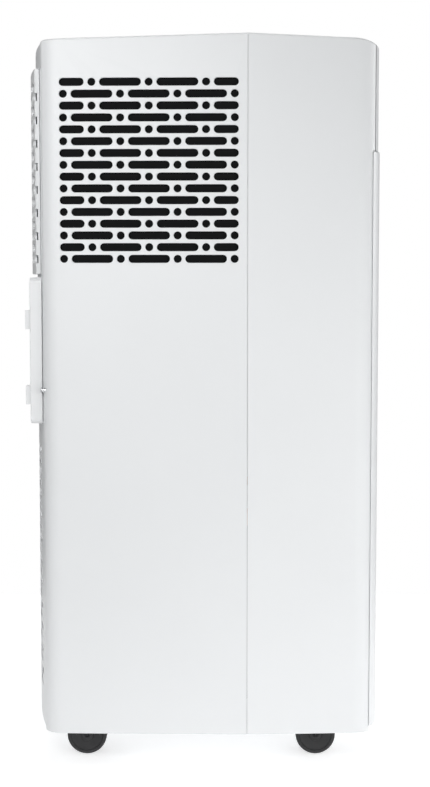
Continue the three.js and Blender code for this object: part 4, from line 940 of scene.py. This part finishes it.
def make_control_panel():
    """A plate on a wider lip under the opening's edge, with a pocket and a hole for each button."""
    low = -CONTROL_THICKNESS
    corner = 0.6 * MM
    panel = plate_block("control_panel_plate", CONTROL_HALF_X, CONTROL_HALF_Y, corner, low, 0)
    soften(panel, 0.4 * MM, 3)
    join(panel, plate_block("lip", CONTROL_HALF_X + CONTROL_LIP, CONTROL_HALF_Y + CONTROL_LIP, 2 * MM,
                            low - CONTROL_LIP_THICKNESS, low))
    join(panel, plate_block("rim", CONTROL_HALF_X, CONTROL_HALF_Y, corner, low - 1 * MM, low + 1 * MM))
    half_x, half_y = CONTROL_HALF_X - CONTROL_RIM, CONTROL_HALF_Y - CONTROL_RIM
    under = low - CONTROL_LIP_THICKNESS - 1 * MM
    cut(panel, block("under", -half_x, half_x, -half_y, half_y, under, low))
    cut(panel, plate_block("display pocket", DISPLAY_HALF_X + GAP, DISPLAY_HALF_Y + GAP, 1.2 * MM,
                           -DISPLAY_THICKNESS - GAP, 1 * MM))
    for name in BUTTONS:
        radius = BUTTON_RADIUS + 2 * GAP
        hole = [(radius, low - 1 * MM), (radius, -0.4 * MM), (radius + 0.12 * MM, -0.1 * MM),
                (radius + 0.4 * MM, 0), (radius + 0.4 * MM, 1 * MM)]
        cut(panel, turned("button hole", hole, "z", (button_x(name), 0, 0), 48))
    dress(tilted(panel), "casing", "grey_plastic", grey_plastic, "control_panel")


def make_button(name):
    """A cap with a shallow dish and a soft rim, on a wider foot that keeps it in."""
    foot = BUTTON_PROUD - BUTTON_HEIGHT
    under = -CONTROL_THICKNESS - GAP
    top = BUTTON_PROUD
    profile = [(0, foot), (BUTTON_RADIUS + 0.9 * MM, foot), (BUTTON_RADIUS + 0.9 * MM, under),
               (BUTTON_RADIUS, under)]
    rim = 0.5 * MM
    for angle in (math.radians(22.5 * i) for i in range(5)):
        profile.append((BUTTON_RADIUS - rim * (1 - math.cos(angle)), top - rim * (1 - math.sin(angle))))
    dish, depth = BUTTON_RADIUS - 1.2 * MM, 0.45 * MM
    for t in (i / 6 for i in range(1, 7)):
        profile.append((dish * (1 - t), top - depth * math.sin(t * math.pi / 2)))
    cap = turned(f"button_{name}_cap", profile, "z", (button_x(name), 0, 0), 48)
    dress(tilted(cap), f"button_{name}", "white_trim", white_trim, f"button_{name}")


def make_display():
    lens = plate_block("display_lens_glass", DISPLAY_HALF_X, DISPLAY_HALF_Y, 1 * MM, -DISPLAY_THICKNESS, 0)
    soften(lens, 0.25 * MM)
    dress(tilted(lens), "casing", "display_lens", black_gloss, "display_lens")


# ---- Base tray and castors ----

PLACES = ("front_left", "front_right", "rear_left", "rear_right")
POCKET_WALL = 2.5 * MM
BOSS_RADIUS = 9 * MM
STEM_RADIUS = 4 * MM
TRAIL = 10 * MM
WHEEL_WIDTH = 9 * MM
YOKE_HALF = 2.5 * MM
YOKE_RADIUS = 12 * MM
YOKE_SHOULDER = 8 * MM
COLLAR_RISE = 1 * MM
COLLAR_HEIGHT = 2.5 * MM
COLLAR_RADIUS = 9 * MM
CEILING_GAP = 1 * MM
POCKET_CLEARANCE = 1.9 * MM
TRAY_RIM = 34 * MM
TRAY_FLOOR = 3.5 * MM
AXLE_BORE = 2.3 * MM


def castor_axis(place):
    """The stem's axis in plan, which the axle trails behind."""
    x, axle_y, _ = middle_of(*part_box(f"castor_axle_{place}"))
    return x, axle_y - TRAIL


def wheel_radius(place):
    _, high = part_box(f"castor_wheel_outer_{place}")
    return high.z / 2


def make_base_tray():
    """A tray with a domed pocket over each castor and a boss on it for the stem."""
    radius = wheel_radius("front_left")
    inner = WALL + GAP
    bottom, rim_top = tray_low.z, tray_low.z + TRAY_RIM
    ceiling = 2 * radius + COLLAR_RISE + COLLAR_HEIGHT + CEILING_GAP
    chord = math.sqrt(radius ** 2 - (BOTTOM - radius) ** 2)
    pocket = math.hypot(TRAIL + chord, YOKE_HALF + GAP + WHEEL_WIDTH) + POCKET_CLEARANCE
    tray = hollow_solid("base_tray_body", inner, bottom, top=rim_top)
    clip(tray, slab(tray_low.y, FAR))
    inside = hollow_solid("tray inside", inner + WALL, bottom + TRAY_FLOOR, top=FAR)
    cut(tray, clip(inside, slab(tray_low.y + WALL, FAR, -FAR, 2 * FAR)))
    for place in PLACES:
        x, y = castor_axis(place)
        dome = rod("z", x, y, pocket + POCKET_WALL, bottom + 1 * MM, ceiling + POCKET_WALL, 64)
        bound = hollow_solid("dome bound", inner, bottom, top=rim_top)
        clip(dome, bound, slab(tray_low.y, FAR))
        join(tray, dome)
        join(tray, rod("z", x, y, BOSS_RADIUS, ceiling + 1 * MM, tray_high.z))
    lip = 0.8 * MM
    room = [(pocket + lip, bottom - lip), (pocket + lip, bottom), (pocket + 0.3 * lip, bottom + 0.3 * lip),
            (pocket, bottom + lip), (pocket, ceiling)]
    for place in PLACES:
        x, y = castor_axis(place)
        cut(tray, turned("pocket", room, "z", (x, y, 0), 64))
        cut(tray, rod("z", x, y, STEM_RADIUS + GAP, 0, FAR, 24))
    cut(tray, rear_fitting_hole("drain_plug"), rear_fitting_hole("cord_gland"))
    dress(tray, "casing", "grey_plastic", grey_plastic, "base_tray")


def make_yoke(place):
    """A hooded web between the two wheels, with the collar and stem it swivels on."""
    node = f"castor_yoke_{place}"
    _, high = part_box(node)
    x, y = castor_axis(place)
    radius = wheel_radius(place)
    collar_low = 2 * radius + COLLAR_RISE
    collar_high = collar_low + COLLAR_HEIGHT
    axle_y = y + TRAIL
    web_top = collar_low + 1 * MM
    outline = arc(axle_y, radius, YOKE_RADIUS, 35, -180, 24)
    outline += [(y - YOKE_SHOULDER, web_top), (y + YOKE_SHOULDER, web_top)]
    yoke = prism(f"{node}_web", outline, "x", x - YOKE_HALF, x + YOKE_HALF)
    soften(yoke, 0.5 * MM)
    cut(yoke, rod("x", axle_y, radius, AXLE_BORE, x - FAR, x + FAR, 24))
    edge, tip = 0.4 * MM, 0.8 * MM
    profile = [(0, collar_low), (COLLAR_RADIUS - edge, collar_low), (COLLAR_RADIUS, collar_low + edge),
               (COLLAR_RADIUS, collar_high - edge), (COLLAR_RADIUS - edge, collar_high),
               (STEM_RADIUS, collar_high), (STEM_RADIUS, high.z - tip), (STEM_RADIUS - tip, high.z),
               (0, high.z)]
    join(yoke, turned("stem", profile, "z", (x, y, 0), 32))
    dress(yoke, f"castor_{place}", "black_plastic", black_plastic, node)


def make_axle(place):
    node = f"castor_axle_{place}"
    low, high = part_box(node)
    half = (high.x - low.x) / 2
    radius = (high.z - low.z) / 2
    edge = 0.5 * MM
    profile = [(0, -half), (radius - edge, -half), (radius, -half + edge), (radius, half - edge),
               (radius - edge, half), (0, half)]
    pin = turned(f"{node}_pin", profile, "x", middle_of(low, high), 24)
    dress(pin, f"castor_{place}", "steel", dark_steel, node)


def make_wheel(face, place):
    """A tyre with rounded shoulders, a dished face, a raised rim line and a hub boss."""
    node = f"castor_wheel_{face}_{place}"
    low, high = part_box(node)
    radius = high.z / 2
    x, y = castor_axis(place)
    outward = 1 if middle_of(low, high).x > x else -1
    inner_x = low.x if outward > 0 else high.x
    width = high.x - low.x
    shoulder = 2.4 * MM
    profile = [(AXLE_BORE, 0), (radius - 1.2 * MM, 0), (radius, 1.2 * MM), (radius, width - shoulder)]
    for angle in (math.radians(15 * i) for i in range(1, 7)):
        along = width - shoulder * (1 - math.sin(angle))
        profile.append((radius - shoulder * (1 - math.cos(angle)), along))
    profile += [(radius - 3.4 * MM, width), (radius - 3.9 * MM, width - 0.7 * MM),
                (radius - 8 * MM, width - 1 * MM), (6.4 * MM, width - 1.6 * MM), (6 * MM, width - 0.7 * MM),
                (5.4 * MM, width - 0.3 * MM), (3.2 * MM, width - 0.2 * MM), (AXLE_BORE, width - 0.6 * MM)]
    profile = [(r, outward * along) for r, along in profile]
    wheel = ring_turned(f"{node}_tyre", profile, "x", (inner_x, y + TRAIL, radius), 64)
    dress(wheel, f"wheel_{face}_{place}", "black_rubber", black_rubber, node)


# ---- Machinery inside ----

FIN_PITCH = 2.6 * MM
FIN_THICKNESS = 0.35 * MM
TUBE_RADIUS = 3.2 * MM
TUBE_PITCH = 21 * MM
BEND_STEPS = 8
COMPRESSOR_INSIDE_BOX = 0.985
COMPRESSOR_FOOT_HALF = 36.4 * MM


def make_fins(node, low, high, x0, x1):
    """Thin plates across the tubes, the first and the last of double thickness."""
    count = int((x1 - x0) / FIN_PITCH)
    corners = ((low.y, low.z), (high.y, low.z), (high.y, high.z), (low.y, high.z))
    vertices, faces = [], []
    for i in range(count + 1):
        x = x0 + (x1 - x0) * i / count
        half = FIN_THICKNESS if i in (0, count) else FIN_THICKNESS / 2
        base = len(vertices)
        for side in (-half, half):
            vertices += [(x + side, y, z) for y, z in corners]
        faces += [[base + k for k in face] for face in tube_faces(2, 4)]
        faces += [[base, base + 1, base + 2, base + 3], [base + 4, base + 5, base + 6, base + 7]]
    fins = mesh_object(f"{node}_plates", vertices, faces)
    dress(fins, "casing", "coil_fins", coil_fins, node)


def make_coil(node):
    """A block of thin plates on level tubes that are joined in pairs by bends."""
    low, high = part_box(node)
    bend = TUBE_PITCH / 2
    x0, x1 = low.x + bend + TUBE_RADIUS, high.x - bend - TUBE_RADIUS
    make_fins(node, low, high, x0, x1)
    levels = int((high.z - low.z - TUBE_PITCH) / TUBE_PITCH)
    middle = (low.y + high.y) / 2
    start_z = (low.z + high.z) / 2 - levels * bend
    path = []
    for level in range(levels + 1):
        z = start_z + level * TUBE_PITCH
        ends = (x0, x1) if level % 2 == 0 else (x1, x0)
        path += [(ends[0], middle, z), (ends[1], middle, z)]
        if level < levels:
            outward = 1 if ends[1] == x1 else -1
            for step in range(1, BEND_STEPS):
                angle = math.radians(180 * step / BEND_STEPS - 90)
                path.append((ends[1] + outward * bend * math.cos(angle), middle,
                             z + bend + bend * math.sin(angle)))
    rings = []
    for i, point in enumerate(path):
        before, after = Vector(path[max(i - 1, 0)]), Vector(path[min(i + 1, len(path) - 1)])
        along = (after - before).normalized()
        across_path = along.cross(Vector((0, 1, 0))).normalized()
        rings.append([Vector(point) + across_path * u + Vector((0, v, 0))
                      for u, v in circle(0, 0, TUBE_RADIUS, 12)])
    tubes = swept(f"{node}_tubes", rings)
    dress(tubes, "casing", "copper_pipe", copper)


def make_compressor():
    """A welded can with a domed top and a seam bead round it, on a foot plate."""
    low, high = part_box("compressor")
    x, y, _ = middle_of(low, high)
    radius = (high.x - low.x) / 2 * COMPRESSOR_INSIDE_BOX
    can_radius = radius * 0.975
    height = high.z - low.z
    foot = 8 * MM
    base, base_round = 0.8 * radius, 16 * MM
    profile = [(0, foot), (base, foot)]
    for angle in (math.radians(18 * i) for i in range(1, 6)):
        profile.append((base + 0.2 * radius * math.sin(angle), foot + base_round * (1 - math.cos(angle))))
    seam = height * 0.72
    profile += [(can_radius, foot + 22 * MM), (can_radius, seam - 3 * MM), (radius, seam - 2 * MM),
                (radius, seam + 2 * MM), (can_radius, seam + 3 * MM)]
    dome = 34 * MM
    for angle in (math.radians(11.25 * i) for i in range(9)):
        profile.append((can_radius * math.cos(angle), height - dome + dome * math.sin(angle)))
    can = turned("compressor_can", profile, "z", (x, y, low.z), 64)
    half = COMPRESSOR_FOOT_HALF
    outline = rounded(x - half, x + half, y - half, y + half, 9 * MM)
    plate = prism("foot plate", outline, "z", low.z, low.z + foot + 1 * MM)
    join(can, soften(plate, 0.8 * MM))
    dress(can, "casing", "black_paint", black_paint, "compressor")


# ---- Build everything ----

make_rear_shell()
make_front_shell()
make_front_panel()
make_front_bezel()
make_flap()
for number in range(1, VANE_COUNT + 1):
    make_vane(number)
make_intake_lid()
make_duct_frame()
for screw_node in ("duct_screw_left", "duct_screw_right"):
    make_duct_screw(screw_node)
make_drain_plug()
make_cord_gland()
make_control_panel()
make_display()
for button_name in BUTTONS:
    make_button(button_name)
make_base_tray()
for corner in PLACES:
    make_yoke(corner)
    make_axle(corner)
    for wheel_face in ("outer", "inner"):
        make_wheel(wheel_face, corner)
for coil_node in ("condenser_coil", "evaporator_coil"):
    make_coil(coil_node)
make_compressor()

# CAD nodes whose shape is right keep it and get their real material.
CARRIED = {
    dark_net: ("side_filter_left", "side_filter_right"),
    grey_net: ("air_filter",),
    grey_plastic: ("vane_link", "divider_tray", "condenser_fan_housing", "exhaust_duct",
                   "evaporator_fan_housing"),
    black_plastic: ("condenser_fan_wheel", "evaporator_fan_drum"),
    zinc: ("condenser_fan_motor", "evaporator_fan_motor", "electrical_box"),
    copper: ("discharge_pipe", "suction_pipe"),
    board_green: ("control_board",),
}
for finish, nodes in CARRIED.items():
    for node in nodes:
        for material_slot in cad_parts[node].material_slots:
            material_slot.material = finish

# ---- Floor, light and camera ----

FLOOR_HALF = 0.6
FLOOR_GLOW = 0.62


def make_floor():
    """A plain pale square that glows a little, so that it is as white as the backdrop."""
    half = FLOOR_HALF
    corners = [(-half, -half, 0), (half, -half, 0), (half, half, 0), (-half, half, 0)]
    floor = mesh_object("floor", corners, [[0, 1, 2, 3]])
    made, tree, shader = material("floor_white", (0.6, 0.6, 0.605), 0.6)
    mottled = tint(tree, surface_noise(tree, 3, 2.0), (0.59, 0.59, 0.595), (0.61, 0.61, 0.615))
    tree.links.new(mottled, shader.inputs["Base Color"])
    shader.inputs["Emission Color"].default_value = (1, 1, 1, 1)
    shader.inputs["Emission Strength"].default_value = FLOOR_GLOW
    floor.data.materials.append(made)


def make_light(name, position, target, size, power):
    """A square area light that the camera doesn't see; size in metres and power in watts."""
    light = bpy.data.lights.new(name, "AREA")
    light.shape = "SQUARE"
    light.size = size
    light.energy = power
    made = bpy.data.objects.new(name, light)
    made.location = position
    made.rotation_euler = (Vector(target) - Vector(position)).to_track_quat("-Z", "Y").to_euler()
    made.visible_camera = False
    bpy.context.scene.collection.objects.link(made)


def make_world(strength):
    """Even soft light from all round, behind a plain white backdrop."""
    world = bpy.data.worlds.new("studio")
    world.use_nodes = True
    tree = world.node_tree
    background = tree.nodes["Background"]
    background.inputs["Color"].default_value = (1, 1, 1, 1)
    seen = tree.nodes.new("ShaderNodeLightPath")
    white = add_node(tree, "ShaderNodeMapRange", To_Min=strength, To_Max=1.0)
    tree.links.new(seen.outputs["Is Camera Ray"], white.inputs["Value"])
    tree.links.new(white.outputs["Result"], background.inputs["Strength"])
    bpy.context.scene.world = world


make_floor()
make_world(0.1)
make_light("side_middle", (-0.95, 0.25, 0.5), (-0.15, 0.1, 0.45), 0.5, 1.6)
make_light("side_front", (-0.8, -0.5, 0.3), (-0.15, -0.1, 0.3), 0.5, 2.4)
make_light("side_rear_top", (-0.8, 0.36, 0.88), (-0.15, 0.12, 0.55), 0.4, 3.1)
make_light("overhead", (0.15, 0, 2.6), (0.05, 0, 0.7), 0.9, 10)
make_light("front", (0.2, -2.3, 1.0), (0, 0, 0.4), 1.2, 24)
make_light("back", (0.7, 2.2, 1.0), (0, 0, 0.4), 1.2, 8)
make_light("far_side", (2.1, 0, 0.9), (0, 0, 0.4), 1.2, 13)
bpy.context.scene.view_settings.view_transform = "Standard"

LENS_MM = 67.9
SENSOR_MM = 36
CAMERA_POSITION = (-1.5425, -0.0145, 0.467)
CAMERA_DOWN_TILT = 4.57

camera_data = bpy.data.cameras.new("camera")
camera_data.lens = LENS_MM
camera_data.sensor_width = SENSOR_MM
camera = bpy.data.objects.new("camera", camera_data)
camera.location = CAMERA_POSITION
camera.rotation_euler = (math.radians(90 - CAMERA_DOWN_TILT), 0, math.radians(-90))
bpy.context.scene.collection.objects.link(camera)
bpy.context.scene.camera = camera

bpy.context.view_layer.update()
